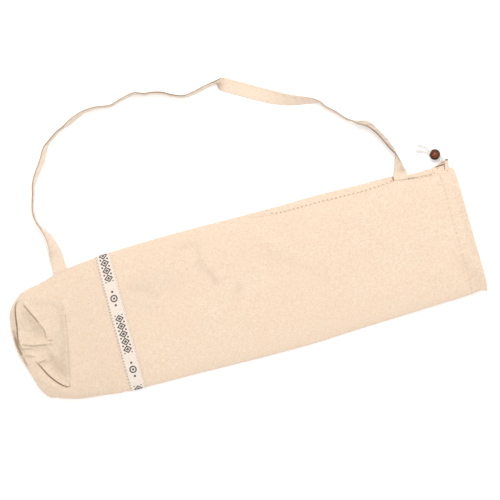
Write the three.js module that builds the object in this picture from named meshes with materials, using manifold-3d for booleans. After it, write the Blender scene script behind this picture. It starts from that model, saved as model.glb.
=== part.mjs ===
// A cotton yoga mat bag lying empty and flat: a long tube with a round base panel folded up at one end,
// a drawstring mouth at the other, a shoulder strap looped out to one side and a woven ribbon round the tube.
//
// Frame: millimetres. The bag lies on z = 0. +X runs along the tube from the base to the mouth, +Y points
// to the side that carries the strap, and the origin is in the middle of the tube's underside.
import * as THREE from "three";
import { mergeVertices } from "three/addons/utils/BufferGeometryUtils.js";
import Module from "manifold-3d";

// Tube
const BASE_END = -344; // station of the folded base end, in the middle of the bag
const MOUTH_END = 342; // station of the mouth's edge
const WALL = 1; // canvas
const CLEARANCE = 0.3; // gap between neighbouring pieces
const BASE_BEND_LENGTH = 90; // stretch over which the cross rows follow the rounded base end
const BASE_SWELL_LENGTH = 45; // stretch over which the upper layer rises from the base end
const BASE_ROLL_LENGTH = 8; // stretch over which the lower layer turns up at the base end
const END_INSET_LENGTH = 20; // stretch over which the inner skin draws level with the outer one
const MOUTH_BEND_LENGTH = 60; // stretch over which the cross rows follow the skewed mouth
const FLAT_SHARE = 0.93; // share of the half width on which the lower layer lies flat
const SWELL_POWER = 4; // how full the upper layer is towards its side folds

// Ribbon
const RIBBON_MIDDLE = -186.5;
const RIBBON_HALF_WIDTH = 11;
const RIBBON_THICKNESS = 0.8;
const RIBBON_GAP = 0.4;
const RIBBON_LIFT = RIBBON_GAP + RIBBON_THICKNESS; // the tube's underside rises this much over the ribbon
const RIBBON_LIFT_MARGIN = 1.5; // the raised stretch is this much longer on each side of the ribbon
const RIBBON_LIFT_SLOPE = 3;

// Base panel
const SEAM_FLOOR = 5; // a level inside the hollow, where the cut for the panel ends
const SEAM_CUT_HEIGHT = 40;
const DISC_SINK = 2.5; // the panel lies this much lower than the tube round it
const DISC_SINK_REACH = 12;

// Strap
const STRAP_WIDTH = 20;
const STRAP_THICKNESS = 2;
const STRAP_STEPS_PER_ROW = 2;
const STRAP_SEAT = 0.4; // gap between the strap's ends and the tube's side fold

// Hem, drawstring and bead
const CORD_RADIUS = 1.2;
const CORD_SIDES = 8;
const LOOP_STEPS = 64;
const TAIL_STEPS = 9;
const LOOP_REACH = 0.94; // the cord leaves the channel for the slit at this place across the tube
const HEM_FACING = 1;
const HEM_CHANNEL = 3.8; // clear height of the channel for the cord
const HEM_SIDE_SHARE = 2; // the channel is this much wider at the side folds than it is high
const HEM_START = 317;
const HEM_SLOPE = 4.5; // length over which the facing rises off the wall, on each side of the channel
const HEM_EDGE_SETBACK = 0.7; // the facing ends this far inside the mouth's edge
const CHANNEL_START = 324.5;
const CHANNEL_END = 335;
const CORD_EXIT_STATIONS = { a: 327.2, b: 332.8 };
const CORD_LEVEL = 8; // level at which the two tails pass the slit and the bead
const SLIT = { x: 305, toX: 331, z: 5, toZ: 12, depth: 7 };
const CORD_JOINT = 0.8; // gap between the cord in the channel and its tails
const BEAD_RADIUS = 8;
const BEAD_HOLE_RADIUS = 3.15;
const BEAD_BANDS = 8;
const BEAD_SIDES = 16;
const BEAD_CENTRE = new THREE.Vector3(318.5, 115, BEAD_RADIUS);
const BEAD_AXIS_ANGLE = THREE.MathUtils.degToRad(140);
const TAIL_SPACING = 1.4; // each tail's distance from the bead's axis
const KNOT_RADIUS = 2.6;

// Side outline of the lying tube: its lower and upper edge in plan, at each x.
const OUTLINE = [
  { x: -314, low: -82.4, high: 76.4 },
  { x: -305.5, low: -85, high: 79.5 },
  { x: -295.5, low: -89, high: 81 },
  { x: -275.5, low: -94.7, high: 85.2 },
  { x: -265.5, low: -95.8, high: 88.5 },
  { x: -235.5, low: -99, high: 94 },
  { x: -215.5, low: -101.5, high: 96.5 },
  { x: -175, low: -103, high: 99.8 },
  { x: -95, low: -103.8, high: 102.2 },
  { x: 5, low: -105.4, high: 101.8 },
  { x: 85, low: -105, high: 101.5 },
  { x: 125, low: -102.8, high: 102.4 },
  { x: 205, low: -99.8, high: 101 },
  { x: 245, low: -98.2, high: 100.8 },
  { x: 275, low: -97, high: 96.4 },
  { x: 305, low: -96.2, high: 97.6 },
  { x: 320, low: -94.6, high: 99.2 },
  { x: 333, low: -93.2, high: 103 },
  { x: 341, low: -96.4, high: 104 },
];

// How far the base end is set back from its foremost point, by place across the tube (-1 to 1).
const BASE_SETBACK = [
  { across: -1, setback: 31 },
  { across: -0.93, setback: 24.5 },
  { across: -0.8, setback: 18 },
  { across: -0.55, setback: 12.2 },
  { across: -0.35, setback: 8 },
  { across: -0.15, setback: 2.8 },
  { across: 0.1, setback: 0 },
  { across: 0.35, setback: 0.2 },
  { across: 0.55, setback: 2.2 },
  { across: 0.7, setback: 5.8 },
  { across: 0.85, setback: 15 },
  { across: 1, setback: 28.5 },
];

// How far the mouth's edge is set back, by place across the tube.
const MOUTH_SETBACK = [
  { across: -1, setback: 0.6 },
  { across: -0.8, setback: -1 },
  { across: -0.3, setback: 0 },
  { across: 0.4, setback: 0.9 },
  { across: 0.7, setback: 2.2 },
  { across: 0.9, setback: 5.4 },
  { across: 1, setback: 8.2 },
];

// Loft of the empty tube: the height of its middle and the level of its side folds.
const LOFT = [
  { station: -344, height: 19, fold: 7 },
  { station: -300, height: 23, fold: 7.5 },
  { station: -262, height: 24, fold: 7 },
  { station: -235, height: 19, fold: 6 },
  { station: -186, height: 15, fold: 5.5 },
  { station: -60, height: 13, fold: 5 },
  { station: 200, height: 13, fold: 5.5 },
  { station: 300, height: 16, fold: 7.8 },
  { station: 325, height: 17, fold: 8.5 },
  { station: 342, height: 17, fold: 8.5 },
];

// Folds, creases and dents of the upper layer: a ridge (height above 0) or hollow along a line.
const FOLDS = [
  { name: "edge of the folded base", x: -258, y: 44, toX: -280, toY: -70, height: 1.6, reach: 12 },
  { name: "rolled corner", x: -318, y: -54, toX: -284, toY: -84, height: 3, reach: 14 },
  { name: "long crease of the panel", x: -313.5, y: 54, toX: -295.5, toY: 17, height: 2.6, reach: 9 },
  { name: "cross fold of the panel", x: -332.5, y: 1, toX: -298.5, toY: -6, height: 2.2, reach: 8 },
  { name: "hollow by the lip", x: -324, y: 26, toX: -312, toY: 16, height: -3, reach: 15 },
  { name: "hollow by the pleats", x: -300, y: -30, toX: -292, toY: -46, height: -3, reach: 15 },
  { name: "short pleat", x: -318.5, y: -30, toX: -304.5, toY: -27, height: 1.8, reach: 7 },
  { name: "pressed crease", x: 32, y: 88, toX: 44, toY: 60, height: 1.2, reach: 16 },
  { name: "pressed crease, its foot", x: 44, y: 60, toX: 72, toY: 38, height: 1.2, reach: 16 },
  { name: "dent past the ribbon", x: -120, y: 30, toX: -70, toY: 10, height: -1.2, reach: 40 },
  { name: "dent before the mouth", x: 180, y: -20, toX: 250, toY: -30, height: -1.2, reach: 45 },
];

// Seam between the tube and the base panel, in plan, where it shows on top.
const DISC_SEAM = [
  { x: -257.5, y: 42 },
  { x: -264.5, y: 15 },
  { x: -273.5, y: -28 },
  { x: -280.5, y: -68 },
  { x: -290.5, y: -67 },
  { x: -305.5, y: -51 },
  { x: -316.5, y: -30 },
  { x: -332.5, y: -8 },
  { x: -337, y: 8 },
  { x: -333.5, y: 30 },
  { x: -327.5, y: 61 },
  { x: -318, y: 66 },
  { x: -285.5, y: 58.5 },
];
const DISC_SEAM_POINTS = 36;

// The strap's middle line in plan, its roll (0 lies flat, 90 stands on edge) and its lift off the surface.
const STRAP_ROUTE = [
  { x: -252, y: 92, roll: 0, lift: 4.5 },
  { x: -253, y: 103, roll: 2, lift: 2.2 },
  { x: -253.6, y: 114, roll: 6, lift: 0.6 },
  { x: -254.8, y: 127, roll: 38, lift: 0 },
  { x: -258, y: 145, roll: 56, lift: 0 },
  { x: -264.4, y: 162, roll: 76, lift: 0 },
  { x: -268, y: 180, roll: 85, lift: 0 },
  { x: -265.3, y: 198, roll: 85, lift: 0 },
  { x: -259.3, y: 218.5, roll: 80, lift: 0 },
  { x: -249.6, y: 238.5, roll: 84, lift: 0 },
  { x: -237.7, y: 255.3, roll: 75, lift: 0 },
  { x: -223.8, y: 274.7, roll: 79, lift: 0 },
  { x: -203, y: 289.4, roll: 86, lift: 0 },
  { x: -181.3, y: 299.2, roll: 76, lift: 0 },
  { x: -157.8, y: 307.8, roll: 82, lift: 0 },
  { x: -134, y: 307.6, roll: 83, lift: 0 },
  { x: -113.8, y: 307.2, roll: 81, lift: 0 },
  { x: -90, y: 311.5, roll: 83, lift: 0 },
  { x: -66.4, y: 308.2, roll: 81, lift: 0 },
  { x: -41.5, y: 303.8, roll: 87, lift: 0 },
  { x: -20.2, y: 292.7, roll: 86, lift: 0 },
  { x: 2, y: 291.8, roll: 80, lift: 0 },
  { x: 22, y: 297, roll: 75, lift: 0 },
  { x: 38, y: 297, roll: 62, lift: 0 },
  { x: 52, y: 292, roll: 14, lift: 0 },
  { x: 71.2, y: 279.6, roll: 3, lift: 0.5 },
  { x: 96.8, y: 264.8, roll: 6, lift: 0.5 },
  { x: 123.4, y: 251.8, roll: 22, lift: 0 },
  { x: 148, y: 242, roll: 52, lift: 0 },
  { x: 172.5, y: 233, roll: 80, lift: 0 },
  { x: 191, y: 214, roll: 88, lift: 0 },
  { x: 209.8, y: 194.4, roll: 84, lift: 0 },
  { x: 229.8, y: 184.7, roll: 66, lift: 0 },
  { x: 242.7, y: 171.9, roll: 70, lift: 0 },
  { x: 251, y: 154, roll: 68, lift: 0 },
  { x: 258, y: 140, roll: 70, lift: 0 },
  { x: 261, y: 127, roll: 70, lift: 0 },
  { x: 261.2, y: 113, roll: 54, lift: 1 },
  { x: 261, y: 99, roll: 0, lift: 5.8 },
];

// Routes of the drawstring's two free ends, from the slit in the side seam to their knots.
const TAIL_A_ROUTE = [
  { x: 321, y: 98.8, z: 9 },
  { x: 321.4, y: 101.4, z: 8.8 },
  { x: 323.4, y: 105.4, z: 8.2 },
  { throughBead: -TAIL_SPACING },
  { x: 304.8, y: 123.4, z: 3.2 },
  { x: 301.4, y: 125, z: KNOT_RADIUS },
  { x: 297.6, y: 126.4, z: KNOT_RADIUS },
];
const TAIL_B_ROUTE = [
  { x: 326.6, y: 99.6, z: 8.4 },
  { x: 327, y: 102.4, z: 8.4 },
  { x: 328, y: 106.6, z: 8.2 },
  { throughBead: TAIL_SPACING },
  { x: 308.4, y: 129, z: 3.2 },
  { x: 305, y: 131.6, z: KNOT_RADIUS },
  { x: 301.4, y: 133, z: KNOT_RADIUS },
];

// Columns across the tube, from its low fold at -1 to its strap side at 1, and rows along it.
const HALF_COLUMNS = [0.12, 0.24, 0.36, 0.48, 0.59, 0.69, 0.78, 0.87, 0.94, 0.98, 1];
const COLUMNS = [...HALF_COLUMNS.map((share) => -share).reverse(), 0, ...HALF_COLUMNS];
const BASE_ROWS = [0, 0.8, 2.5, 6, 12, 19, 26, 33, 40, 47, 54, 61, 68, 76, 86, 98, 112, 128];
const RIBBON_ROWS = [-202, -199, -174, -171];
const BODY_ROWS = [-145, -105, -60, -20, 20, 45, 70, 100, 145, 190, 230];
const MOUTH_ROWS = [252, 264, 275, 288, 302, 314, 324, 333];
const STATIONS = [
  ...BASE_ROWS.map((along) => BASE_END + along),
  ...RIBBON_ROWS,
  ...BODY_ROWS,
  ...MOUTH_ROWS,
  MOUTH_END,
];

const COLOURS = {
  cotton: 0xf0dcc4,
  panel: 0xecd7bd,
  ribbon: 0xf6ecdf,
  strap: 0xefdcc8,
  cord: 0xf5efe4,
  wood: 0x4c1f14,
};

const { clamp, lerp, smoothstep, degToRad } = THREE.MathUtils;

// A smooth curve through the rows of a table, read from one named column by another.
function through(rows, key, value) {
  const last = rows.length - 1;
  const slope = (i) => {
    const before = rows[Math.max(0, i - 1)];
    const after = rows[Math.min(last, i + 1)];
    return (after[value] - before[value]) / (after[key] - before[key]);
  };
  return (at) => {
    const place = clamp(at, rows[0][key], rows[last][key]);
    const next = Math.max(1, rows.findIndex((row) => row[key] >= place));
    const from = rows[next - 1];
    const to = rows[next];
    const span = to[key] - from[key];
    const u = (place - from[key]) / span;
    const rise = to[value] - from[value];
    const startBend = slope(next - 1) * span - rise;
    const endBend = rise - slope(next) * span;
    return from[value] + u * rise + u * (1 - u) * (startBend * (1 - u) + endBend * u);
  };
}

const lowEdge = through(OUTLINE, "x", "low");
const highEdge = through(OUTLINE, "x", "high");
const baseSetback = through(BASE_SETBACK, "across", "setback");
const mouthSetback = through(MOUTH_SETBACK, "across", "setback");
const loftHeight = through(LOFT, "station", "height");
const foldLevel = through(LOFT, "station", "fold");

// Distance in plan from a point to the line from one place to another.
function distanceToLine(x, y, from, to) {
  const dx = to.x - from.x;
  const dy = to.y - from.y;
  const length2 = dx * dx + dy * dy;
  const u = length2 > 0 ? clamp(((x - from.x) * dx + (y - from.y) * dy) / length2, 0, 1) : 0;
  return Math.hypot(x - from.x - u * dx, y - from.y - u * dy);
}

const seamCurve = new THREE.CatmullRomCurve3(
  DISC_SEAM.map((point) => new THREE.Vector3(point.x, point.y, 0)),
  true,
);
const seamLoop = seamCurve.getPoints(DISC_SEAM_POINTS).slice(0, DISC_SEAM_POINTS);

// How deep a point lies inside the base panel's seam, in plan; 0 outside it.
function depthInPanel(x, y) {
  let inside = false;
  let nearest = Infinity;
  seamLoop.forEach((from, i) => {
    const to = seamLoop[(i + 1) % seamLoop.length];
    nearest = Math.min(nearest, distanceToLine(x, y, from, to));
    const crosses = from.y > y !== to.y > y;
    if (crosses && x < from.x + ((y - from.y) * (to.x - from.x)) / (to.y - from.y)) {
      inside = !inside;
    }
  });
  return inside ? nearest : 0;
}

// Height that the folds, creases, dents and the sunken base panel add to the upper layer.
function relief(x, y) {
  const folds = FOLDS.reduce((sum, fold) => {
    const share = distanceToLine(x, y, fold, { x: fold.toX, y: fold.toY }) / fold.reach;
    return share < 1 ? sum + (fold.height * (1 + Math.cos(Math.PI * share))) / 2 : sum;
  }, 0);
  return folds - DISC_SINK * smoothstep(depthInPanel(x, y), 0, DISC_SINK_REACH);
}

// Rise of the tube's underside over the ribbon, which lies between it and the surface.
function ribbonLift(station) {
  const past = Math.abs(station - RIBBON_MIDDLE) - (RIBBON_HALF_WIDTH + RIBBON_LIFT_MARGIN);
  return RIBBON_LIFT * (1 - smoothstep(past, 0, RIBBON_LIFT_SLOPE));
}

// How far a skin lies in from the side folds for its inset from the upper and lower layers.
function sideInset(inset) {
  return inset <= WALL ? inset : WALL + (inset - WALL) * HEM_SIDE_SHARE;
}

// One point of the tube's skin, at a station along it and a place across it from -1 to 1, on the upper or
// lower layer, moved into the tube by inset.
function skinPoint(station, across, upper, inset) {
  const along = station - BASE_END;
  const baseShare = 1 - smoothstep(along, 0, BASE_BEND_LENGTH);
  const mouthShare = smoothstep(station, MOUTH_END - MOUTH_BEND_LENGTH, MOUTH_END);
  const rowX = (place) => station + baseSetback(place) * baseShare - mouthSetback(place) * mouthShare;
  const endInset = Math.max(0, inset) * Math.max(0, 1 - along / END_INSET_LENGTH);
  const x = rowX(across) + endInset;
  const low = lowEdge(rowX(-1)) + sideInset(inset);
  const high = highEdge(rowX(1)) - sideInset(inset);
  const y = lerp(low, high, (across + 1) / 2);
  const fold = foldLevel(station);
  if (upper) {
    const acrossSwell = Math.sqrt(1 - Math.abs(across) ** SWELL_POWER);
    const alongSwell = Math.sqrt(1 - (1 - Math.min(1, along / BASE_SWELL_LENGTH)) ** SWELL_POWER);
    const top = loftHeight(station) + relief(x, y) - inset;
    return new THREE.Vector3(x, y, fold + (top - fold) * acrossSwell * alongSwell);
  }
  const pastFlat = Math.max(0, (Math.abs(across) - FLAT_SHARE) / (1 - FLAT_SHARE));
  const alongShort = 1 - Math.min(1, along / BASE_ROLL_LENGTH);
  const flatness = Math.sqrt(1 - pastFlat ** 2) * Math.sqrt(1 - alongShort ** 2);
  const floor = ribbonLift(station) + inset;
  return new THREE.Vector3(x, y, fold - (fold - floor) * flatness);
}

// Collects facets into one geometry with shared corners.
function facets() {
  const positions = [];
  const triangle = (...corners) => corners.forEach((corner) => positions.push(...corner.toArray()));
  return {
    triangle,
    quad(a, b, c, d) {
      triangle(a, b, c);
      triangle(a, c, d);
    },
    geometry() {
      const geometry = new THREE.BufferGeometry();
      geometry.setAttribute("position", new THREE.Float32BufferAttribute(positions, 3));
      return mergeVertices(geometry, 1e-4);
    },
  };
}

// A solid between two skins that are open at the mouth: the outer at no inset, the inner at the wall's.
function tubeShell() {
  const shell = facets();
  const grid = (upper, inset) =>
    STATIONS.map((station) => COLUMNS.map((across) => skinPoint(station, across, upper, inset)));
  const layers = [
    { points: grid(true, 0), facesUp: true },
    { points: grid(false, 0), facesUp: false },
    { points: grid(true, WALL), facesUp: false },
    { points: grid(false, WALL), facesUp: true },
  ];
  layers.forEach(({ points, facesUp }) => {
    for (let i = 0; i + 1 < STATIONS.length; i++) {
      for (let j = 0; j + 1 < COLUMNS.length; j++) {
        const corners = [points[i][j], points[i + 1][j], points[i + 1][j + 1], points[i][j + 1]];
        shell.quad(...(facesUp ? corners : corners.reverse()));
      }
    }
  });
  const mouthRow = layers.map(({ points }) => points[points.length - 1]);
  const [outerTop, outerBottom, innerTop, innerBottom] = mouthRow;
  for (let j = 0; j + 1 < COLUMNS.length; j++) {
    shell.quad(outerTop[j], innerTop[j], innerTop[j + 1], outerTop[j + 1]);
    shell.quad(outerBottom[j], outerBottom[j + 1], innerBottom[j + 1], innerBottom[j]);
  }
  return shell.geometry();
}

// A solid skinned over rings of points, closed into a loop or capped at both ends.
function sweptSolid(rings, loops) {
  const solid = facets();
  const sides = rings[0].length;
  const spans = loops ? rings.length : rings.length - 1;
  for (let i = 0; i < spans; i++) {
    const ring = rings[i];
    const next = rings[(i + 1) % rings.length];
    for (let k = 0; k < sides; k++) {
      const l = (k + 1) % sides;
      solid.quad(ring[k], next[k], next[l], ring[l]);
    }
  }
  if (!loops) {
    const last = rings[rings.length - 1];
    for (let k = 1; k + 1 < sides; k++) {
      solid.triangle(rings[0][0], rings[0][k], rings[0][k + 1]);
      solid.triangle(last[0], last[k + 1], last[k]);
    }
  }
  return solid.geometry();
}

// A band round the tube: its profile is a closed outline of stations and insets, in order.
function bandRoundTube(profile) {
  const upperPlaces = COLUMNS.map((across) => ({ across, upper: true }));
  const lowerPlaces = COLUMNS.slice(1, -1).reverse().map((across) => ({ across, upper: false }));
  const rings = [...upperPlaces, ...lowerPlaces].map(({ across, upper }) =>
    profile.map(({ station, inset }) => skinPoint(station, across, upper, inset)),
  );
  return sweptSolid(rings, true);
}

function ribbonBand() {
  const stations = [-RIBBON_HALF_WIDTH, 0, RIBBON_HALF_WIDTH].map((offset) => RIBBON_MIDDLE + offset);
  const inside = stations.map((station) => ({ station, inset: -RIBBON_GAP }));
  const outside = stations.map((station) => ({ station, inset: -RIBBON_LIFT })).reverse();
  return bandRoundTube([...outside, ...inside]);
}

// The turned-in hem: stitched to the wall along its inner edge and folded to it at the mouth, and raised
// off the wall between them, where the cord runs.
function hemFacing() {
  const seated = WALL + CLEARANCE;
  const raised = WALL + HEM_CHANNEL;
  const againstWall = [
    { station: HEM_START, inset: seated },
    { station: CHANNEL_START - HEM_SLOPE, inset: seated },
    { station: CHANNEL_START, inset: raised },
    { station: CHANNEL_END, inset: raised },
    { station: CHANNEL_END + HEM_SLOPE, inset: seated },
    { station: MOUTH_END - HEM_EDGE_SETBACK, inset: seated },
  ];
  const towardsInside = againstWall.map(({ station, inset }) => ({ station, inset: inset + HEM_FACING }));
  return bandRoundTube([...againstWall.reverse(), ...towardsInside]);
}

// A round cord along a curve.
function cordAlong(points, steps) {
  const section = new THREE.Shape();
  for (let i = 0; i < CORD_SIDES; i++) {
    const turn = (2 * Math.PI * i) / CORD_SIDES;
    const corner = [CORD_RADIUS * Math.cos(turn), CORD_RADIUS * Math.sin(turn)];
    if (i === 0) {
      section.moveTo(...corner);
    } else {
      section.lineTo(...corner);
    }
  }
  section.closePath();
  return new THREE.ExtrudeGeometry(section, {
    steps,
    extrudePath: new THREE.CatmullRomCurve3(points),
  });
}

// The cord's route in the channel: from the slit over the upper layer, round the low fold and back under
// the lower layer to the slit.
function drawstringLoop() {
  const inset = WALL + HEM_CHANNEL / 2;
  const reach = COLUMNS.filter((across) => across <= LOOP_REACH);
  const route = [
    ...reach.map((across) => ({ across, upper: true })).reverse(),
    ...reach.slice(1).map((across) => ({ across, upper: false })),
  ];
  const inChannel = route.map(({ across, upper }, i) => {
    const station = lerp(CORD_EXIT_STATIONS.a, CORD_EXIT_STATIONS.b, i / (route.length - 1));
    return skinPoint(station, across, upper, inset);
  });
  const behindTail = (route, back, rise) =>
    new THREE.Vector3(route[0].x, route[0].y - back, route[0].z + rise);
  const exits = {
    a: [behindTail(TAIL_A_ROUTE, CORD_JOINT, 0), behindTail(TAIL_A_ROUTE, 4, 0.5)],
    b: [behindTail(TAIL_B_ROUTE, 4, -1.4), behindTail(TAIL_B_ROUTE, CORD_JOINT, 0)],
  };
  return cordAlong([...exits.a, ...inChannel, ...exits.b], LOOP_STEPS);
}

const beadAxis = new THREE.Vector3(Math.cos(BEAD_AXIS_ANGLE), Math.sin(BEAD_AXIS_ANGLE), 0);
const besideAxis = new THREE.Vector3(-beadAxis.y, beadAxis.x, 0).negate();

// A tail's route as points: through the bead it runs beside the bead's axis.
function tailPoints(route) {
  return route.flatMap((stop) => {
    if (stop.throughBead === undefined) {
      return [new THREE.Vector3(stop.x, stop.y, stop.z)];
    }
    const beside = besideAxis.clone().multiplyScalar(stop.throughBead);
    return [-BEAD_RADIUS, 0, BEAD_RADIUS].map((along) =>
      BEAD_CENTRE.clone().addScaledVector(beadAxis, along).add(beside).setZ(CORD_LEVEL),
    );
  });
}

// The bead, turned about its own Y axis, with a round hole along it.
function beadGeometry() {
  const rimHeight = Math.sqrt(BEAD_RADIUS ** 2 - BEAD_HOLE_RADIUS ** 2);
  const rimAngle = Math.atan2(rimHeight, BEAD_HOLE_RADIUS);
  const profile = [];
  for (let i = 0; i <= BEAD_BANDS; i++) {
    const turn = lerp(-rimAngle, rimAngle, i / BEAD_BANDS);
    profile.push(new THREE.Vector2(BEAD_RADIUS * Math.cos(turn), BEAD_RADIUS * Math.sin(turn)));
  }
  profile.push(profile[0].clone());
  return new THREE.LatheGeometry(profile, BEAD_SIDES);
}

// The strap: a flat strip swept along its route, rolled on to its edge and back, with its ends cut along
// the tube's side fold.
function shoulderStrap() {
  const rows = STRAP_ROUTE.map((row, i) => ({ ...row, index: i }));
  const column = (name) => through(rows, "index", name);
  const [x, y, roll, lift] = ["x", "y", "roll", "lift"].map(column);
  const steps = (rows.length - 1) * STRAP_STEPS_PER_ROW;
  const rings = [];
  for (let i = 0; i <= steps; i++) {
    const at = i / STRAP_STEPS_PER_ROW;
    const ahead = Math.min(rows.length - 1, at + 0.1);
    const behind = Math.max(0, at - 0.1);
    const forward = new THREE.Vector3(x(ahead) - x(behind), y(ahead) - y(behind), 0).normalize();
    const turn = degToRad(roll(at));
    const outward = new THREE.Vector3(-forward.y, forward.x, 0);
    const widthWay = outward.multiplyScalar(Math.cos(turn)).setZ(Math.sin(turn));
    const thickWay = forward.clone().cross(widthWay);
    const halfWidth = STRAP_WIDTH / 2;
    const halfThickness = STRAP_THICKNESS / 2;
    const level = halfWidth * Math.abs(Math.sin(turn)) + halfThickness * Math.abs(Math.cos(turn));
    const middle = new THREE.Vector3(x(at), y(at), level + Math.max(0, lift(at)));
    const corners = [
      [1, 1],
      [1, -1],
      [-1, -1],
      [-1, 1],
    ].map(([side, face]) =>
      middle
        .clone()
        .addScaledVector(widthWay, side * halfWidth)
        .addScaledVector(thickWay, face * halfThickness),
    );
    if (i === 0 || i === steps) {
      corners.forEach((corner) => corner.setY(highEdge(corner.x) + STRAP_SEAT));
    }
    rings.push(corners);
  }
  return sweptSolid(rings, false);
}

const wasm = await Module();
wasm.setup();

// A closed geometry as a solid that can be joined and cut.
function solidOf(geometry) {
  const plain = geometry.clone();
  plain.deleteAttribute("normal");
  plain.deleteAttribute("uv");
  const merged = mergeVertices(plain, 1e-4);
  return new wasm.Manifold(
    new wasm.Mesh({
      numProp: 3,
      vertProperties: merged.attributes.position.array,
      triVerts: new Uint32Array(merged.index.array),
    }),
  );
}

function geometryOf(solid) {
  const mesh = solid.simplify(0.01).getMesh();
  const geometry = new THREE.BufferGeometry();
  geometry.setAttribute("position", new THREE.BufferAttribute(mesh.vertProperties, 3));
  geometry.setIndex(new THREE.BufferAttribute(mesh.triVerts, 1));
  return geometry;
}

// An upright block over the base panel's seam line, moved out from it by margin.
function seamBlock(margin) {
  const outline = seamLoop.map((point, i) => {
    const before = seamLoop[(i + seamLoop.length - 1) % seamLoop.length];
    const after = seamLoop[(i + 1) % seamLoop.length];
    const way = new THREE.Vector2(after.x - before.x, after.y - before.y).normalize();
    return new THREE.Vector2(point.x - way.y * margin, point.y + way.x * margin);
  });
  const settings = { depth: SEAM_CUT_HEIGHT, bevelEnabled: false };
  return new THREE.ExtrudeGeometry(new THREE.Shape(outline), settings).translate(0, 0, SEAM_FLOOR);
}

const shell = solidOf(tubeShell());
const seamTurns = THREE.ShapeUtils.isClockWise(seamLoop) ? 1 : -1;
const panelBlock = solidOf(seamBlock((-seamTurns * CLEARANCE) / 2));
const holeBlock = solidOf(seamBlock((seamTurns * CLEARANCE) / 2));
const slitLength = SLIT.toX - SLIT.x;
const slitBlock = solidOf(
  new THREE.BoxGeometry(slitLength, 2 * SLIT.depth, SLIT.toZ - SLIT.z).translate(
    SLIT.x + slitLength / 2,
    highEdge(SLIT.toX),
    (SLIT.z + SLIT.toZ) / 2,
  ),
);
const tubeWall = geometryOf(shell.subtract(holeBlock).subtract(slitBlock));
const basePanel = geometryOf(shell.intersect(panelBlock));

function piece(name, geometry, color, roughness) {
  geometry.computeVertexNormals();
  const mesh = new THREE.Mesh(geometry, new THREE.MeshStandardMaterial({ color, roughness, metalness: 0 }));
  mesh.name = name;
  return mesh;
}

function body() {
  const group = new THREE.Group();
  group.add(
    piece("tube_wall", tubeWall, COLOURS.cotton, 0.95),
    piece("base_disc", basePanel, COLOURS.panel, 0.95),
    piece("ribbon_band", ribbonBand(), COLOURS.ribbon, 0.8),
    piece("shoulder_strap", shoulderStrap(), COLOURS.strap, 0.95),
    piece("hem_facing", hemFacing(), COLOURS.cotton, 0.95),
  );
  return group;
}

function drawstring() {
  const group = new THREE.Group();
  group.add(piece("drawstring_loop", drawstringLoop(), COLOURS.cord, 0.9));
  [
    { name: "a", points: tailPoints(TAIL_A_ROUTE) },
    { name: "b", points: tailPoints(TAIL_B_ROUTE) },
  ].forEach(({ name, points }) => {
    const [beforeEnd, end] = points.slice(-2);
    const way = end.clone().sub(beforeEnd).normalize();
    const knot = piece("tail_knot_" + name, new THREE.SphereGeometry(KNOT_RADIUS, 10, 8), COLOURS.cord, 0.9);
    knot.position.copy(end).addScaledVector(way, KNOT_RADIUS + CLEARANCE);
    group.add(piece("drawstring_tail_" + name, cordAlong(points, TAIL_STEPS), COLOURS.cord, 0.9), knot);
  });
  const bead = piece("toggle_bead", beadGeometry(), COLOURS.wood, 0.35);
  bead.position.copy(BEAD_CENTRE);
  bead.quaternion.setFromUnitVectors(new THREE.Vector3(0, 1, 0), beadAxis);
  group.add(bead);
  return group;
}

const bag = new THREE.Group();
bag.add(body(), drawstring());

export default bag;
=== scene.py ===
"""A cotton yoga mat bag, lying empty and flat with its shoulder strap looped out to one side.

All shapes are worked out in millimetres in the model's own frame: +X runs along the tube from the base to
the mouth, +Y points to the strap, and the floor is z = 0. mesh_piece() turns them to metres.
"""

import math

import bpy
import numpy as np
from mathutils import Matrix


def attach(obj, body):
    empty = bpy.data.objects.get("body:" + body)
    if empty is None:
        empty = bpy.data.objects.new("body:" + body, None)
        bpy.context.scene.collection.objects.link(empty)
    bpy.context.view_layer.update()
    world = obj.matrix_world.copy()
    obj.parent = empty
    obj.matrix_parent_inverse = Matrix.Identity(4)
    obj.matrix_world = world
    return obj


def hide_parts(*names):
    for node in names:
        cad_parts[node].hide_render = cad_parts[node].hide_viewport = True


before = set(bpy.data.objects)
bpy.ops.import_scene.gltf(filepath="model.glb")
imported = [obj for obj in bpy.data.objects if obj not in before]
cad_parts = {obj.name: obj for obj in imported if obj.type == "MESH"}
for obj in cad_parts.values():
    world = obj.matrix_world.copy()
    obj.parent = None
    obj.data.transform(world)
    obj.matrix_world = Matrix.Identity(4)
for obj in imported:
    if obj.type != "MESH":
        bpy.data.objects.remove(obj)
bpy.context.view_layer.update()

MM = 0.001

# Camera: straight above, turned about the vertical, with the photograph's frame.
VIEW_TURN_DEG = -15
VIEW_CENTRE = (22.6, 50.4)
VIEW_WIDTH = 727.5
VIEW_LEVEL = 10
LENS = 200
SENSOR = 36

# Tube, as the solids have it.
BASE_END = -344
MOUTH_END = 342
WALL = 1.0
BASE_BEND_LENGTH = 90
BASE_SWELL_LENGTH = 45
BASE_ROLL_LENGTH = 8
MOUTH_BEND_LENGTH = 60
FLAT_SHARE = 0.93
SWELL_POWER = 4
DISC_SINK = 2.5
DISC_SINK_REACH = 12
RIBBON_MIDDLE = -186.5
RIBBON_HALF_WIDTH = 11
RIBBON_GAP = 0.4
RIBBON_LIFT = 1.2
RIBBON_LIFT_MARGIN = 1.5
RIBBON_LIFT_SLOPE = 3

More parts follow.
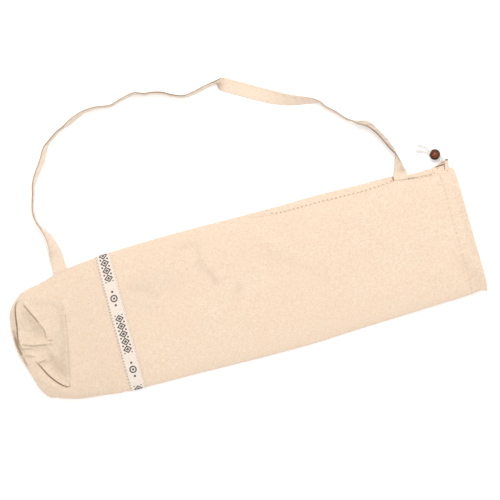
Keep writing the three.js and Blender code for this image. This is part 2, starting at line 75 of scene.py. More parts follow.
# Side outline of the lying tube: x, low edge, high edge.
OUTLINE = np.array([
    (-314, -82.4, 76.4),
    (-305.5, -84.4, 79.5),
    (-295.5, -88.4, 81),
    (-275.5, -94.2, 85.2),
    (-265.5, -95.8, 88.5),
    (-235.5, -99, 94),
    (-215.5, -101.5, 96.5),
    (-175, -103, 99.8),
    (-95, -103.8, 102.2),
    (5, -105.4, 101.8),
    (85, -105, 101.5),
    (125, -102.8, 102.4),
    (205, -99.8, 101),
    (245, -98.2, 100.8),
    (275, -97, 96.4),
    (305, -96, 97.2),
    (314, -95.2, 99.6),
    (324, -94.2, 101.6),
    (333, -93.2, 103),
    (341, -96.4, 104),
])

# Set-back of the base end: place across the tube, distance from the foremost point.
BASE_SETBACK = np.array([
    (-1, 31),
    (-0.93, 25.5),
    (-0.8, 19),
    (-0.55, 12.9),
    (-0.35, 8),
    (-0.15, 2.8),
    (0.1, 0),
    (0.35, 0.2),
    (0.55, 2.2),
    (0.7, 5),
    (0.85, 13.6),
    (1, 27.6),
])

# Set-back of the mouth's edge: place across the tube, distance.
MOUTH_SETBACK = np.array([
    (-1, 0.6),
    (-0.8, -1),
    (-0.3, 0),
    (0.4, 0.9),
    (0.72, 1.6),
    (0.8, 2.2),
    (0.85, 3),
    (0.872, 5.6),
    (0.89, 9.4),
    (0.95, 9.8),
    (1, 9),
])

# Loft of the empty tube: station, height of its middle, level of its side folds.
LOFT = np.array([
    (-344, 19, 7),
    (-300, 23, 7.5),
    (-262, 24, 7),
    (-235, 19, 6),
    (-186, 15, 5.5),
    (-60, 13, 5),
    (200, 13, 5.5),
    (300, 16, 7.8),
    (325, 17, 8.5),
    (342, 17, 8.5),
])

# Soft folds and dents of the upper layer: x, y, to x, to y, height, reach.
SOFT_FOLDS = {
    "edge of the folded base": (-258, 44, -280, -70, 1.6, 12),
    "rolled corner": (-318, -54, -284, -84, 3, 14),
    "long crease of the panel": (-313.5, 54, -295.5, 17, 2.6, 9),
    "cross fold of the panel": (-332.5, 1, -298.5, -6, 2.2, 8),
    "hollow by the lip": (-324, 26, -312, 16, -3, 15),
    "hollow by the pleats": (-300, -30, -292, -46, -3, 15),
    "short pleat": (-318.5, -30, -304.5, -27, 1.8, 7),
    "pressed crease": (32, 88, 44, 60, 1.2, 16),
    "pressed crease, its foot": (44, 60, 72, 38, 1.2, 16),
    "dent past the ribbon": (-120, 30, -70, 10, -1.2, 40),
    "lying fold": (-55, 52, -38.5, 17, -1.1, 9),
    "lying fold, its head": (-78, 80, -50, 74, -0.8, 9),
    "lying fold, its foot": (-12, 6, -4, -3, -0.8, 8),
    "ridge beside the lying fold": (-47, 56, -29, 19, 0.7, 10),
    "sag by the mouth's low corner": (325, -52, 334, -88, -1.6, 12),
    "dent before the mouth": (180, -20, 250, -30, -1.2, 45),
}

# Sharp creases, most of them on the base panel: a line in plan, the rise on its left, the drop on its right,
# how far both reach, and how much painted shade lies down in it.
CREASES = {
    "long crease": ([(-316, 59), (-308.7, 43.9), (-303.4, 33.7), (-301.1, 27.1)], 2.2, 2.4, 8, 0.55),
    "foot of the long crease": ([(-301.1, 27.1), (-296, 16.3), (-296.1, 3)], 1.8, 2, 8, 0.22),
    "cross fold": ([(-333, 3.3), (-325.8, 0.1), (-317.2, -2.9), (-306.9, -4.3), (-296.7, -6.4)],
                   1, 1, 4, 0.42),
    "second cross fold": ([(-336.1, -3.2), (-328.4, -4.6), (-319.5, -6.3)], 0.7, 0.7, 3, 0.32),
    "end of the cross fold": ([(-295, -0.1), (-287.6, -2.8)], 0.6, 0.6, 3, 0.35),
    "end of the cross fold, lower": ([(-295.7, -5.3), (-290.1, -7.1)], 0.6, 0.6, 3, 0.25),
    "pleat by the lip": ([(-334.9, -13.6), (-327.3, -15.4), (-318.8, -18.6)], 1, 1, 5, 0.3),
    "pleat at the gap": ([(-303.6, -27.4), (-310.6, -28.2), (-317.5, -29.1)], 0.9, 1.1, 4, 0.5),
    "first radial pleat": ([(-300.9, -34.2), (-292.8, -22.2)], 0.9, 0.7, 4, 0.1),
    "second radial pleat": ([(-294.3, -41), (-286.2, -22.7)], 0.9, 0.7, 4, 0.1),
    "third radial pleat": ([(-287.5, -46), (-280.9, -22.7)], 0.8, 0.7, 4, 0.1),
    "edge below the recess": ([(-337, -13), (-333.4, -30)], 0, 0.3, 1, 0.6),
    "notch by the strap's end": ([(251.2, 100.5), (249.6, 92.5)], 0.3, 0.3, 2, 0.95),
    "drawstring's slit": ([(313.5, 97.3), (318, 97.5), (329.5, 97.7)], 0.7, 1.3, 2, 1),
    "where the cord comes out": ([(322.5, 101.4), (329, 101.8)], 0, 0.5, 2, 1),
    "pressed edge": ([(-260.4, 31), (-263.3, 10.2), (-266.7, -7.7), (-270.5, -26.9), (-275.4, -52.5),
                      (-277.5, -65.3)], -1.4, 0.2, 6, 0.2),
}
CREASE_FADE = 5
CREASE_END_SHARE = 0.3  # how far into its fade a crease already is at its very ends
CREASE_WIDTH = 1.1

# Cloth that lies a little in shade: a line in plan, how far round it the shade reaches, and how deep it is.
SHADES = {
    "under the long crease": ([(-316, 44), (-309, 30), (-304, 12)], 6, 0.1),
    "by the panel's pleats": ([(-299, -30), (-289, -50)], 8, 0.09),
    "panel's folded side": ([(-266, 30), (-271, -10), (-279, -55)], 3, 0.07),
    "round the base": ([(-240, 70), (-238, 0), (-236, -70)], 45, 0.045),
    "lying fold's head": ([(-78, 80), (-62, 80), (-51, 76), (-50, 64)], 5, 0.06),
    "lying fold": ([(-55, 51), (-49, 41), (-43, 34.7), (-39, 25), (-39.5, 17)], 4.5, 0.1),
    "lying fold's foot": ([(-13, -3), (-4, -1), (-9, 6)], 5, 0.07),
    "hollow past the ribbon": ([(-150, 45), (-105, 36)], 16, 0.035),
    "the lip": ([(-334, 50), (-337.5, 25)], 4, 0.05),
    "the lip's low end": ([(-339.7, 25), (-340.3, 12)], 2.2, 0.4),
    "wrinkle past the ribbon": ([(-158, 43), (-140, 34), (-124, 22)], 5, 0.06),
    "dent past the ribbon": ([(-168, 20), (-130, 6)], 8, 0.035),
    "middle wrinkle": ([(46, 40), (64, 24), (78, 20)], 6, 0.03),
    "far wrinkle": ([(81, 16), (100, 2), (118, -18)], 6, 0.025),
    "panel between its lip and the long crease": ([(-326, 40), (-316, 14)], 13, 0.035),
    "panel's low half": ([(-284, -6), (-284, -46)], 12, 0.045),
    "mouth's low corner": ([(318, -50), (332, -78)], 8, 0.08),
    "along the mouth": ([(334, 60), (337, -40)], 4, 0.05),
}

# Seam between the tube and the base panel, in plan, where it shows on top: x, y, the depth of its groove and
# how much painted shade lies in it. Where both are 0 the two cloths lie smoothly edge to edge.
PANEL_SEAM = np.array([
    (-257.5, 42, 0, 0),
    (-264.5, 15, 0, 0),
    (-273.5, -28, 0, 0),
    (-279.2, -62, 0, 0),
    (-281.5, -73.5, 1.2, 0.5),
    (-291.5, -68.5, 3, 0.8),
    (-305.8, -51.5, 3, 0.85),
    (-317, -30, 2, 0.6),
    (-320.5, -25, 0.2, 0.05),
    (-332.5, -8, 0.6, 0.15),
    (-337, 8, 2.5, 0.8),
    (-333.5, 30, 2.5, 0.85),
    (-327.5, 61, 2, 0.7),
    (-318, 66, 0.2, 0.1),
    (-285.5, 58.5, 0, 0),
])
PANEL_SEAM_STEPS = 12
PANEL_SEAM_WIDTH = 0.9

# Lip: the tube's cloth stands up a little outside the panel's left edge, from x, y to x, y.
LIP = [(-329, 62), (-336, 36), (-338.5, 8)]
LIP_RISE = 1.6
LIP_REACH = 4
# Recess under the panel's edge, with painted shade in it: a line in plan, its reach, depth and darkness.
RECESS = [(-339.9, 18), (-340.4, 11), (-340, 3), (-338.6, -5), (-337, -13)]
RECESS_REACH = 2
RECESS_DEPTH = 1.4
RECESS_DARKNESS = 0.8

# Base panel's mesh: its middle in plan, its rings and spokes, how the rings crowd towards the seam, and
# how near they come to the middle.
PANEL_CENTRE = (-299, 2)
PANEL_RINGS = 60
PANEL_SPOKES = 300
PANEL_RING_POWER = 1.35
PANEL_RING_REACH = 0.995

# Rumpled cloth at the base end: ridges of two sizes, each with the cell of its noise.
RUMPLE_FADE_START = -262
RUMPLE_FADE = 26
RUMPLE_HEIGHT = 0.7
RUMPLE_CELL = 15
FINE_RUMPLE_HEIGHT = 0.3
FINE_RUMPLE_CELL = 7
FINE_RUMPLE_BEND = 3
# Uneven cloth all over the upper layer: height, cell, how much finer it is across the tube, seed.
UNEVENNESS = [(0.45, 75, 1, 21), (0.22, 28, 1, 22), (0.12, 11, 1.6, 23)]

# Topstitched side seam: x, its distance in from the strap-side outline.
SIDE_SEAM = np.array([
    (22, 0),
    (45, 6),
    (80, 9.4),
    (140, 10.4),
    (205, 10.2),
    (237, 8.6),
    (250, 6.4),
    (271, 6.2),
    (296, 8.2),
    (304, 9),
    (313, 9.6),
])
# Topstitches of the side seam: where they begin, the groove along them and the puckers beside it.
SEAM_START = 24
SEAM_BLEND = 20
SEAM_GROOVE = 0.45
SEAM_GROOVE_WIDTH = 1
SEAM_PUCKER = 0.16
SEAM_PUCKER_PITCH = 9
PUCKER_REACH = 5
# Ledge of the side seam towards the mouth: the cloth outside the stitches lies lower, with a line of painted
# shade at its foot that is darkest beside the strap's root.
LEDGE_START = 250
LEDGE_BLEND = 3
LEDGE_END = 311
LEDGE_END_BLEND = 6
LEDGE_DROP = 2.8
LEDGE_SLOPE = 1.2
LEDGE_LINE = 0.7
LEDGE_LINE_WIDTH = 0.8
LEDGE_DARKNESS = 0.2
STRAP_ROOT_END = 280
STRAP_ROOT_BLENDS = (2, 5)
STRAP_ROOT_DARKNESS = 0.55

# Hem at the mouth: its stitches' station, their groove, the thicker cloth past them and the cord's ridge.
HEM_STITCHES = 319
HEM_GROOVE = 0.5
HEM_GROOVE_WIDTH = 1.3
HEM_RISE = 0.35
HEM_RISE_BLEND = 4
HEM_CHANNEL_MIDDLE = 330
HEM_CHANNEL_RIDGE = 0.5
HEM_CHANNEL_REACH = 5
HEM_PUCKER = 0.2
HEM_PUCKER_PITCH = 11
HEM_PUCKER_MIDDLE = 3
HEM_PUCKER_REACH = 8
RIBBON_PUCKER = 0.18
RIBBON_PUCKER_PITCH = 8

# Drawstring's slit in the side seam: its ends, the place across the tube where it begins to tell, and how
# far the upper layer is pulled in and lifted there and the lower one sags.
SLIT_START = 307
SLIT_END = 328
SLIT_PLACE = 0.93
SLIT_BLEND = 0.06
SLIT_PULL = 0.6
SLIT_LIFT = 0.8
SLIT_SAG = 1.4
END_INSET_LENGTH = 20  # stretch at the base end along which a skin's shift by its inset fades out

# Drawstring and bead
CORD_RADIUS = 1.2
CORD_LEVEL = 8
KNOT_RADIUS = 2.6
BEAD_RADIUS = 8
BEAD_HOLE_RADIUS = 3.15
BEAD_CENTRE = np.array([318.5, 115, BEAD_RADIUS])
BEAD_AXIS_ANGLE = math.radians(140)
BEAD_AXIS = np.array([math.cos(BEAD_AXIS_ANGLE), math.sin(BEAD_AXIS_ANGLE), 0])
TAIL_SPACING = 1.4

# Routes of the drawstring's two free ends, from the seam slit to their knots.
TAIL_A_START = [(323, 98.8, 8.2), (323.4, 101.8, 8.4), (324.4, 105.4, 8.2)]
TAIL_A_END = [(305.6, 122.6, 3.6), (302.8, 123.8, KNOT_RADIUS), (300, 124.8, KNOT_RADIUS)]
TAIL_B_START = [(326.6, 99.6, 8), (328.4, 103.4, 8.4), (327.6, 107.4, 8.2)]
TAIL_B_END = [(309.4, 128, 3.6), (307, 130, KNOT_RADIUS), (304.6, 131.4, KNOT_RADIUS)]

# Strap: its middle line in plan, its roll (0 lies flat, 90 stands on edge, above 90 leans into the loop), its
# lift off the floor, and how much painted shade lies between its two plies.
STRAP_WIDTH = 20
STRAP_THICKNESS = 2
STRAP_PLY = 0.8
STRAP_STREAK = 0.5
STRAP_KINK = 42  # x of the sharp turn from standing on edge to lying flat
STRAP_ROUTE = np.array([
    (-250.6, 87.3, 0, 5.4, 0),
    (-252.0, 93.7, 0, 4.8, 0),
    (-252.6, 110.6, 10, 1.2, 0),
    (-252.4, 127.9, 48, 0, 0),
    (-256.2, 146.5, 69, 0, 0.03),
    (-263.6, 161.9, 87, 0, 0.18),
    (-266.5, 169.6, 88, 0, 0.18),
    (-267.7, 180.2, 87, 0, 0.15),
    (-266.1, 193.3, 88, 0, 0.15),
    (-260.6, 209.9, 87, 0, 0.15),
    (-257.0, 222.5, 84, 0, 0.12),
    (-250.5, 234.3, 79, 0, 0.09),
    (-235.8, 254.6, 75, 0, 0.06),
    (-227.4, 270.0, 78, 0, 0.09),
    (-220.2, 277.4, 87, 0, 0.18),
    (-211.3, 283.7, 86, 0, 0.12),
    (-202.9, 289.2, 88, 0, 0.15),
    (-193.6, 293.2, 88, 0, 0.15),
    (-183.0, 297.8, 78, 0, 0.06),
    (-169.6, 303.8, 80, 0, 0.06),
    (-158.1, 307.6, 86, 0, 0.18),
    (-141.2, 308.6, 88, 0, 0.18),
    (-119.5, 305.7, 88, 0, 0.15),
    (-106.3, 309.4, 88, 0, 0.09),
    (-89.1, 313.4, 87, 0, 0.09),
    (-79.7, 313.9, 88, 0, 0.21),
    (-66.4, 308.9, 88, 0, 0.21),
    (-58.2, 308.6, 88, 0, 0.21),
    (-42.3, 304.4, 88, 0, 0.21),
    (-29.4, 297.4, 88, 0, 0.15),
    (-14.9, 291.8, 88, 0, 0.18),
    (-1.7, 291.9, 84, 0, 0.12),
    (15.3, 295.2, 83, 0, 0.12),
    (28.7, 298.2, 85, 0, 0.18),
    (38.6, 298.7, 79, 0, 0.4),
    (44.1, 295.8, 34, 0, 0.3),
    (50.1, 292.0, 8, 0.2, 0),
    (71.3, 280.0, 2, 0.5, 0),
    (96.9, 265.2, 6, 0.5, 0),
    (123.1, 251.4, 33, 0, 0),
    (143.5, 243.3, 54, 0, 0),
    (160.4, 238.6, 68, 0, 0.1),
    (175.1, 232.6, 86, 0, 0.15),
    (182.7, 222.8, 88, 0, 0.21),
    (193.8, 212.8, 88, 0, 0.21),
    (206.4, 199.2, 90, 0, 0.21),
    (214.5, 193.8, 92, 0, 0.18),
    (221.2, 189.8, 102, 0, 0.12),
    (235.8, 182.9, 112, 0, 0.35),
    (245.7, 169.7, 107, 0, 0.52),
    (253.6, 155.4, 109, 0, 0.42),
    (259.4, 142.1, 106, 0, 0.49),
    (263.3, 132.2, 97, 0, 0.28),
    (263.2, 119.3, 69, 0, 0.07),
    (262.1, 107.7, 46, 1.2, 0),
    (262.3, 103.1, 12, 4, 0),
    (262.2, 99.3, 0, 6.6, 0),
    (261.9, 96.1, 0, 8, 0),
    (261.7, 93.3, 0, 8.7, 0),
    (261.5, 90.3, 0, 8.2, 0),
])


def add_camera():
    """A camera straight above the bag, far enough away to see VIEW_WIDTH across."""
    camera = bpy.data.objects.new("camera", bpy.data.cameras.new("camera"))
    camera.data.lens = LENS
    camera.data.sensor_width = SENSOR
    distance = VIEW_WIDTH * LENS / SENSOR
    camera.location = (VIEW_CENTRE[0] * MM, VIEW_CENTRE[1] * MM, (distance + VIEW_LEVEL) * MM)
    camera.rotation_euler = (0, 0, math.radians(VIEW_TURN_DEG))
    camera.data.clip_end = 50
    bpy.context.scene.collection.objects.link(camera)
    bpy.context.scene.camera = camera


add_camera()


def smoothstep(value):
    """0 below 0, 1 above 1, and the smooth rise 3 v^2 - 2 v^3 between."""
    value = np.clip(value, 0, 1)
    return value * value * (3 - 2 * value)


def bell(gap, reach):
    """A bell that is 1 at a gap of 0 and falls off on both sides: exp(-(gap / reach)^2)."""
    return np.exp(-((gap / reach) ** 2))


def smooth_curve(places, values):
    """A smooth curve through the rows of a table. Between two rows it is the cubic whose slope at each row
    is the slope of the line between that row's neighbours."""
    places = np.asarray(places, float)
    values = np.asarray(values, float)
    last = len(places) - 1
    ahead = np.minimum(np.arange(last + 1) + 1, last)
    behind = np.maximum(np.arange(last + 1) - 1, 0)
    widen = (slice(None),) + (None,) * (values.ndim - 1)
    slopes = (values[ahead] - values[behind]) / (places[ahead] - places[behind])[widen]

    def at(place):
        place = np.clip(np.asarray(place, float), places[0], places[last])
        row = np.clip(np.searchsorted(places, place, side="right") - 1, 0, last - 1)
        span = places[row + 1] - places[row]
        u = (place - places[row]) / span
        if values.ndim > 1:
            span = span[..., None]
            u = u[..., None]
        rise = values[row + 1] - values[row]
        start_bend = slopes[row] * span - rise
        end_bend = rise - slopes[row + 1] * span
        return values[row] + u * rise + u * (1 - u) * (start_bend * (1 - u) + end_bend * u)

    return at


def curve_along(points, step):
    """Points every step along the smooth curve through some points, and their distances along it."""
    points = np.asarray(points, float)
    places = np.concatenate([[0], np.cumsum(np.linalg.norm(np.diff(points, axis=0), axis=1))])
    curve = smooth_curve(places, points)
    fine = curve(np.linspace(0, places[-1], 40 * len(points)))
    run = np.concatenate([[0], np.cumsum(np.linalg.norm(np.diff(fine, axis=0), axis=1))])
    at = np.linspace(0, run[-1], max(2, int(round(run[-1] / step)) + 1))
    return np.stack([np.interp(at, run, fine[:, k]) for k in range(fine.shape[1])], axis=1), at


low_edge = smooth_curve(OUTLINE[:, 0], OUTLINE[:, 1])
high_edge = smooth_curve(OUTLINE[:, 0], OUTLINE[:, 2])
base_setback = smooth_curve(BASE_SETBACK[:, 0], BASE_SETBACK[:, 1])
mouth_setback = smooth_curve(MOUTH_SETBACK[:, 0], MOUTH_SETBACK[:, 1])
loft_height = smooth_curve(LOFT[:, 0], LOFT[:, 1])
fold_level = smooth_curve(LOFT[:, 0], LOFT[:, 2])
seam_offset = smooth_curve(SIDE_SEAM[:, 0], SIDE_SEAM[:, 1])


def closed_curve(rows, steps):
    """A closed loop through the rows, with steps points for each of them."""
    wrapped = np.concatenate([rows[-3:], rows, rows[:3]])
    chords = np.linalg.norm(np.diff(wrapped[:, :2], axis=0), axis=1)
    places = np.concatenate([[0], np.cumsum(chords)])
    at = np.linspace(places[3], places[3 + len(rows)], steps * len(rows), endpoint=False)
    return smooth_curve(places, wrapped)(at)


seam_loop = closed_curve(PANEL_SEAM, PANEL_SEAM_STEPS)


def nearest_on_line(x, y, line, closed=False):
    """For each point in plan: its distance to a line of points, the side it lies on (1 left, -1 right) and
    how far along the line, in points, the nearest place is."""
    starts = line if closed else line[:-1]
    ends = np.roll(line, -1, axis=0) if closed else line[1:]
    best = np.full(x.shape, np.inf)
    side = np.ones(x.shape)
    place = np.zeros(x.shape)
    for i, ((ax, ay), (bx, by)) in enumerate(zip(starts[:, :2], ends[:, :2])):
        dx, dy = bx - ax, by - ay
        u = np.clip(((x - ax) * dx + (y - ay) * dy) / (dx * dx + dy * dy), 0, 1)
        gap = np.hypot(x - ax - u * dx, y - ay - u * dy)
        closer = gap < best
        best = np.where(closer, gap, best)
        side = np.where(closer, np.sign(dx * (y - ay) - dy * (x - ax) + 1e-12), side)
        place = np.where(closer, i + u, place)
    return best, side, place


def inside_loop(x, y, loop):
    """Whether each point in plan lies inside a closed loop: a ray from it crosses the loop an odd number of
    times."""
    inside = np.zeros(x.shape, bool)
    for (ax, ay), (bx, by) in zip(loop[:, :2], np.roll(loop, -1, axis=0)[:, :2]):
        spans = (ay > y) != (by > y)
        with np.errstate(divide="ignore", invalid="ignore"):
            crossing = ax + (y - ay) * (bx - ax) / (by - ay)
        inside ^= spans & (x < crossing)
    return inside


def panel_depth(x, y):
    """How deep each point in plan lies inside the panel's seam (below 0 outside it), and the depth of the
    seam's groove and its painted shade at the nearest place."""
    gap, _, place = nearest_on_line(x, y, seam_loop, closed=True)
    rows = np.arange(len(seam_loop) + 1)
    looped = np.concatenate([seam_loop, seam_loop[:1]])
    groove, dark = (np.maximum(0, np.interp(place, rows, looped[:, k])) for k in (2, 3))
    return np.where(inside_loop(x, y, seam_loop), gap, -gap), groove, dark


def along_line(x, y, points):
    """Distance of points in plan to a short line, the side they lie on, and a share that fades to 0 at the
    line's two ends."""
    points = np.array(points, float)
    gap, side, place = nearest_on_line(x, y, points)
    lengths = np.concatenate([[0], np.cumsum(np.linalg.norm(np.diff(points, axis=0), axis=1))])
    along = np.interp(place, np.arange(len(points)), lengths)
    start = smoothstep(along / CREASE_FADE + CREASE_END_SHARE)
    end = smoothstep((lengths[-1] - along) / CREASE_FADE + CREASE_END_SHARE)
    return gap, side, start * end


def soft_noise(x, y, cell, seed):
    """Smooth noise from -1 to 1: random heights on a square lattice, blended between its corners."""
    lattice = np.random.default_rng(seed).uniform(-1, 1, (64, 64))
    u = np.asarray(x) / cell
    v = np.asarray(y) / cell
    i = np.floor(u).astype(int)
    j = np.floor(v).astype(int)
    a = smoothstep(u - i)
    b = smoothstep(v - j)

    def corner(di, dj):
        return lattice[(i + di) % 64, (j + dj) % 64]

    near = corner(0, 0) * (1 - a) + corner(1, 0) * a
    far = corner(0, 1) * (1 - a) + corner(1, 1) * a
    return near * (1 - b) + far * b


def crease_heights(x, y):
    """Height and painted shade that the sharp creases add. On a crease's left the cloth stands up by its rise
    and on its right it drops, both as tanh(distance / width) exp(-distance / reach), and all of it fades out
    at the crease's ends."""
    height = np.zeros(x.shape)
    dark = np.zeros(x.shape)
    for line, rise, drop, reach, darkness in CREASES.values():
        gap, side, ends = along_line(x, y, line)
        step = np.tanh(gap / CREASE_WIDTH) * np.exp(-gap / reach)
        height += np.where(side > 0, rise, -drop) * step * ends
        dark = np.maximum(dark, darkness * ends * bell(gap, CREASE_WIDTH))
    return height, dark


def fold_heights(x, y):
    """Height that the soft folds add: each is a cosine hill or hollow across its line, out to its reach."""
    height = np.zeros(x.shape)
    for ax, ay, bx, by, rise, reach in SOFT_FOLDS.values():
        gap, _, _ = nearest_on_line(x, y, np.array([(ax, ay), (bx, by)], float))
        height += rise * (1 + np.cos(np.pi * np.minimum(gap / reach, 1))) / 2
    return height


def panel_relief(x, y):
    """Height and painted shade round the base panel: it lies DISC_SINK lower than the tube, with a groove
    along its seam, a lip of the tube's cloth outside it and a recess under its left edge, each one a bell.
    The shade lies in the groove and the recess."""
    depth, groove, seam_dark = panel_depth(x, y)
    near_seam = bell(depth, PANEL_SEAM_WIDTH)
    lip_gap, _, lip_ends = along_line(x, y, LIP)
    recess_gap, _, recess_ends = along_line(x, y, RECESS)
    recess = recess_ends * bell(recess_gap, RECESS_REACH)
    height = -DISC_SINK * smoothstep(depth / DISC_SINK_REACH) - groove * near_seam - RECESS_DEPTH * recess
    height += np.where(depth < 0, LIP_RISE * lip_ends * bell(lip_gap, LIP_REACH), 0)
    return height, np.maximum(near_seam * seam_dark, RECESS_DARKNESS * recess)


def rumples(x, y):
    """Height of the cloth's own unevenness: ridges, 1 - 2 |noise|, at the base end, soft noise all over."""
    ridges = 1 - 2 * np.abs(soft_noise(x, y, RUMPLE_CELL, 11))
    bent_x = x + FINE_RUMPLE_BEND * soft_noise(x, y, 20, 12)
    fine_ridges = 1 - 2 * np.abs(soft_noise(bent_x, y, FINE_RUMPLE_CELL, 13))
    at_base = 1 - smoothstep((x - RUMPLE_FADE_START) / RUMPLE_FADE)
    height = at_base * (RUMPLE_HEIGHT * ridges + FINE_RUMPLE_HEIGHT * fine_ridges)
    for amount, cell, finer, seed in UNEVENNESS:
        height += amount * soft_noise(x, y * finer, cell, seed)
    return height


def side_seam_relief(x, y):
    """Height and painted shade of the topstitched side seam: a groove along its stitches, puckers beside
    them, and the ledge towards the mouth, with painted shade at its foot."""
    inward = high_edge(x) - y - seam_offset(x)
    stitched = smoothstep((x - SEAM_START) / SEAM_BLEND) * smoothstep((LEDGE_END - x) / LEDGE_END_BLEND)
    ledge = stitched * smoothstep((x - LEDGE_START) / LEDGE_BLEND)
    puckers = np.cos(2 * np.pi * x / SEAM_PUCKER_PITCH + 2 * soft_noise(x, y, 14, 31))
    height = -SEAM_GROOVE * stitched * bell(inward, SEAM_GROOVE_WIDTH)
    height -= LEDGE_DROP * ledge * smoothstep(-inward / LEDGE_SLOPE)
    height += SEAM_PUCKER * stitched * puckers * bell(inward, PUCKER_REACH)
    root_start = smoothstep((x - LEDGE_START) / STRAP_ROOT_BLENDS[0])
    root_end = 1 - smoothstep((x - STRAP_ROOT_END) / STRAP_ROOT_BLENDS[1])
    darkness = LEDGE_DARKNESS + STRAP_ROOT_DARKNESS * root_start * root_end
    return height, ledge * darkness * bell(inward + LEDGE_LINE, LEDGE_LINE_WIDTH)


def hem_relief(x, y, station):
    """Height of the hem: a groove at its stitches, the thicker cloth past them, the ridge over the cord and
    puckers between."""
    past = station - HEM_STITCHES
    puckers = np.cos(2 * np.pi * y / HEM_PUCKER_PITCH + 3 * soft_noise(y, x, 16, 33))
    height = -HEM_GROOVE * bell(past, HEM_GROOVE_WIDTH) + HEM_RISE * smoothstep(past / HEM_RISE_BLEND)
    height += HEM_CHANNEL_RIDGE * bell(station - HEM_CHANNEL_MIDDLE, HEM_CHANNEL_REACH)
    return height + HEM_PUCKER * puckers * bell(past - HEM_PUCKER_MIDDLE, HEM_PUCKER_REACH)


def ribbon_relief(x, y, station):
    """Height of the puckers that the sewn-on ribbon draws beside it."""
    past = np.maximum(0, np.abs(station - RIBBON_MIDDLE) - RIBBON_HALF_WIDTH)
    puckers = np.cos(2 * np.pi * y / RIBBON_PUCKER_PITCH + 3 * soft_noise(y, x, 13, 35))
    return RIBBON_PUCKER * puckers * bell(past, PUCKER_REACH)


def relief(x, y, station):
    """Height that folds, creases, seams and rumples add to the upper layer, and the painted shade that lies
    there.
    """
    crease_height, dark = crease_heights(x, y)
    # Painted shade of the SHADES table, laid over that of the creases.
    for line, reach, shade in SHADES.values():
        gap, _, _ = nearest_on_line(x, y, np.array(line, float))
        dark = dark + shade * bell(gap, reach) * (1 - dark)
    panel_rise, panel_dark = panel_relief(x, y)
    seam_rise, seam_dark = side_seam_relief(x, y)
    height = fold_heights(x, y) + crease_height + panel_rise + rumples(x, y) + seam_rise
    height += hem_relief(x, y, station) + ribbon_relief(x, y, station)
    return height, np.maximum(dark, np.maximum(panel_dark, seam_dark))


def ribbon_lift(station):
    """How far the tube's underside is raised over the ribbon below it."""
    past = np.abs(station - RIBBON_MIDDLE) - (RIBBON_HALF_WIDTH + RIBBON_LIFT_MARGIN)
    return RIBBON_LIFT * (1 - smoothstep(past / RIBBON_LIFT_SLOPE))


def slit_share(station):
    """How far the drawstring's slit is open at a station: nothing at its ends, 1 in its middle."""
    middle = (SLIT_START + SLIT_END) / 2
    half = (SLIT_END - SLIT_START) / 2
    return np.sqrt(np.clip(1 - ((station - middle) / half) ** 2, 0, 1))


def side_inset(inset):
    """How far a skin moved in by inset keeps from the side folds: twice as far once it is past the wall."""
    return inset if inset <= WALL else WALL + (inset - WALL) * 2


def skin(station, across, upper, inset=0.0):
    """One skin of the tube, moved in by inset: station runs along it and across from -1 to 1. A row bends to
    the base's and the mouth's outline and goes straight from the low to the high edge. The upper layer
    stands over the side folds' level by the loft times (1 - across^4)^(1/2), closed at the base end by the
    same curve, and carries the relief. The lower layer lies flat and turns up in quarter ellipses."""
    station, across = np.broadcast_arrays(np.asarray(station, float), np.asarray(across, float))
    along = station - BASE_END
    base_share = 1 - smoothstep(along / BASE_BEND_LENGTH)
    mouth_share = smoothstep((station - MOUTH_END + MOUTH_BEND_LENGTH) / MOUTH_BEND_LENGTH)

    def row_x(place):
        return station + base_setback(place) * base_share - mouth_setback(place) * mouth_share

    x = row_x(across) + max(0.0, inset) * np.maximum(0, 1 - along / END_INSET_LENGTH)
    low = low_edge(row_x(-1.0)) + side_inset(inset)
    high = high_edge(row_x(1.0)) - side_inset(inset)
    y = low + (high - low) * (across + 1) / 2
    fold = fold_level(station)
    beside_slit = slit_share(station) * smoothstep((across - SLIT_PLACE) / SLIT_BLEND)
    if upper:
        swell = np.sqrt(1 - np.abs(across) ** SWELL_POWER)
        swell = swell * np.sqrt(1 - (1 - np.minimum(1, along / BASE_SWELL_LENGTH)) ** SWELL_POWER)
        height, dark = relief(x, y, station)
        z = fold + (loft_height(station) + height - inset - fold) * swell
        y = y - SLIT_PULL * beside_slit
        z = z + SLIT_LIFT * beside_slit
        return np.stack([x, y, z], axis=-1), dark
    past_flat = np.maximum(0, np.abs(across) - FLAT_SHARE) / (1 - FLAT_SHARE)
    short = 1 - np.minimum(1, along / BASE_ROLL_LENGTH)
    flatness = np.sqrt(np.maximum(0, 1 - past_flat**2)) * np.sqrt(np.maximum(0, 1 - short**2))
    z = fold - (fold - ribbon_lift(station) - inset) * flatness
    z = z - SLIT_SAG * beside_slit * (1 - flatness)
    return np.stack([x, y, z], axis=-1), np.zeros(x.shape)


def skin_frames(station, across, inset):
    """Points on the upper skin at some places, with the unit vectors along the tube, across it and out,
    worked out from the skin a small step away on either side."""
    step = 0.5
    turn = 0.004
    here = skin(station, across, True, inset)[0]
    along = skin(station + step, across, True, inset)[0] - skin(station - step, across, True, inset)[0]
    sideways = skin(station, across + turn, True, inset)[0] - skin(station, across - turn, True, inset)[0]
    along /= np.linalg.norm(along, axis=-1, keepdims=True)
    outward = np.cross(along, sideways)
    outward /= np.linalg.norm(outward, axis=-1, keepdims=True)
    return here, along, np.cross(outward, along), outward


def grid_faces(rows, columns, close_rows=False, close_columns=False):
    """Quads of a grid whose point (i, j) is number i * columns + j, joined up where it closes."""
    i = np.arange(rows if close_rows else rows - 1)[:, None]
    j = np.arange(columns if close_columns else columns - 1)[None, :]
    next_i = (i + 1) % rows
    next_j = (j + 1) % columns
    row = i * columns
    next_row = next_i * columns
    return np.stack([row + j, next_row + j, next_row + next_j, row + next_j], -1).reshape(-1, 4)


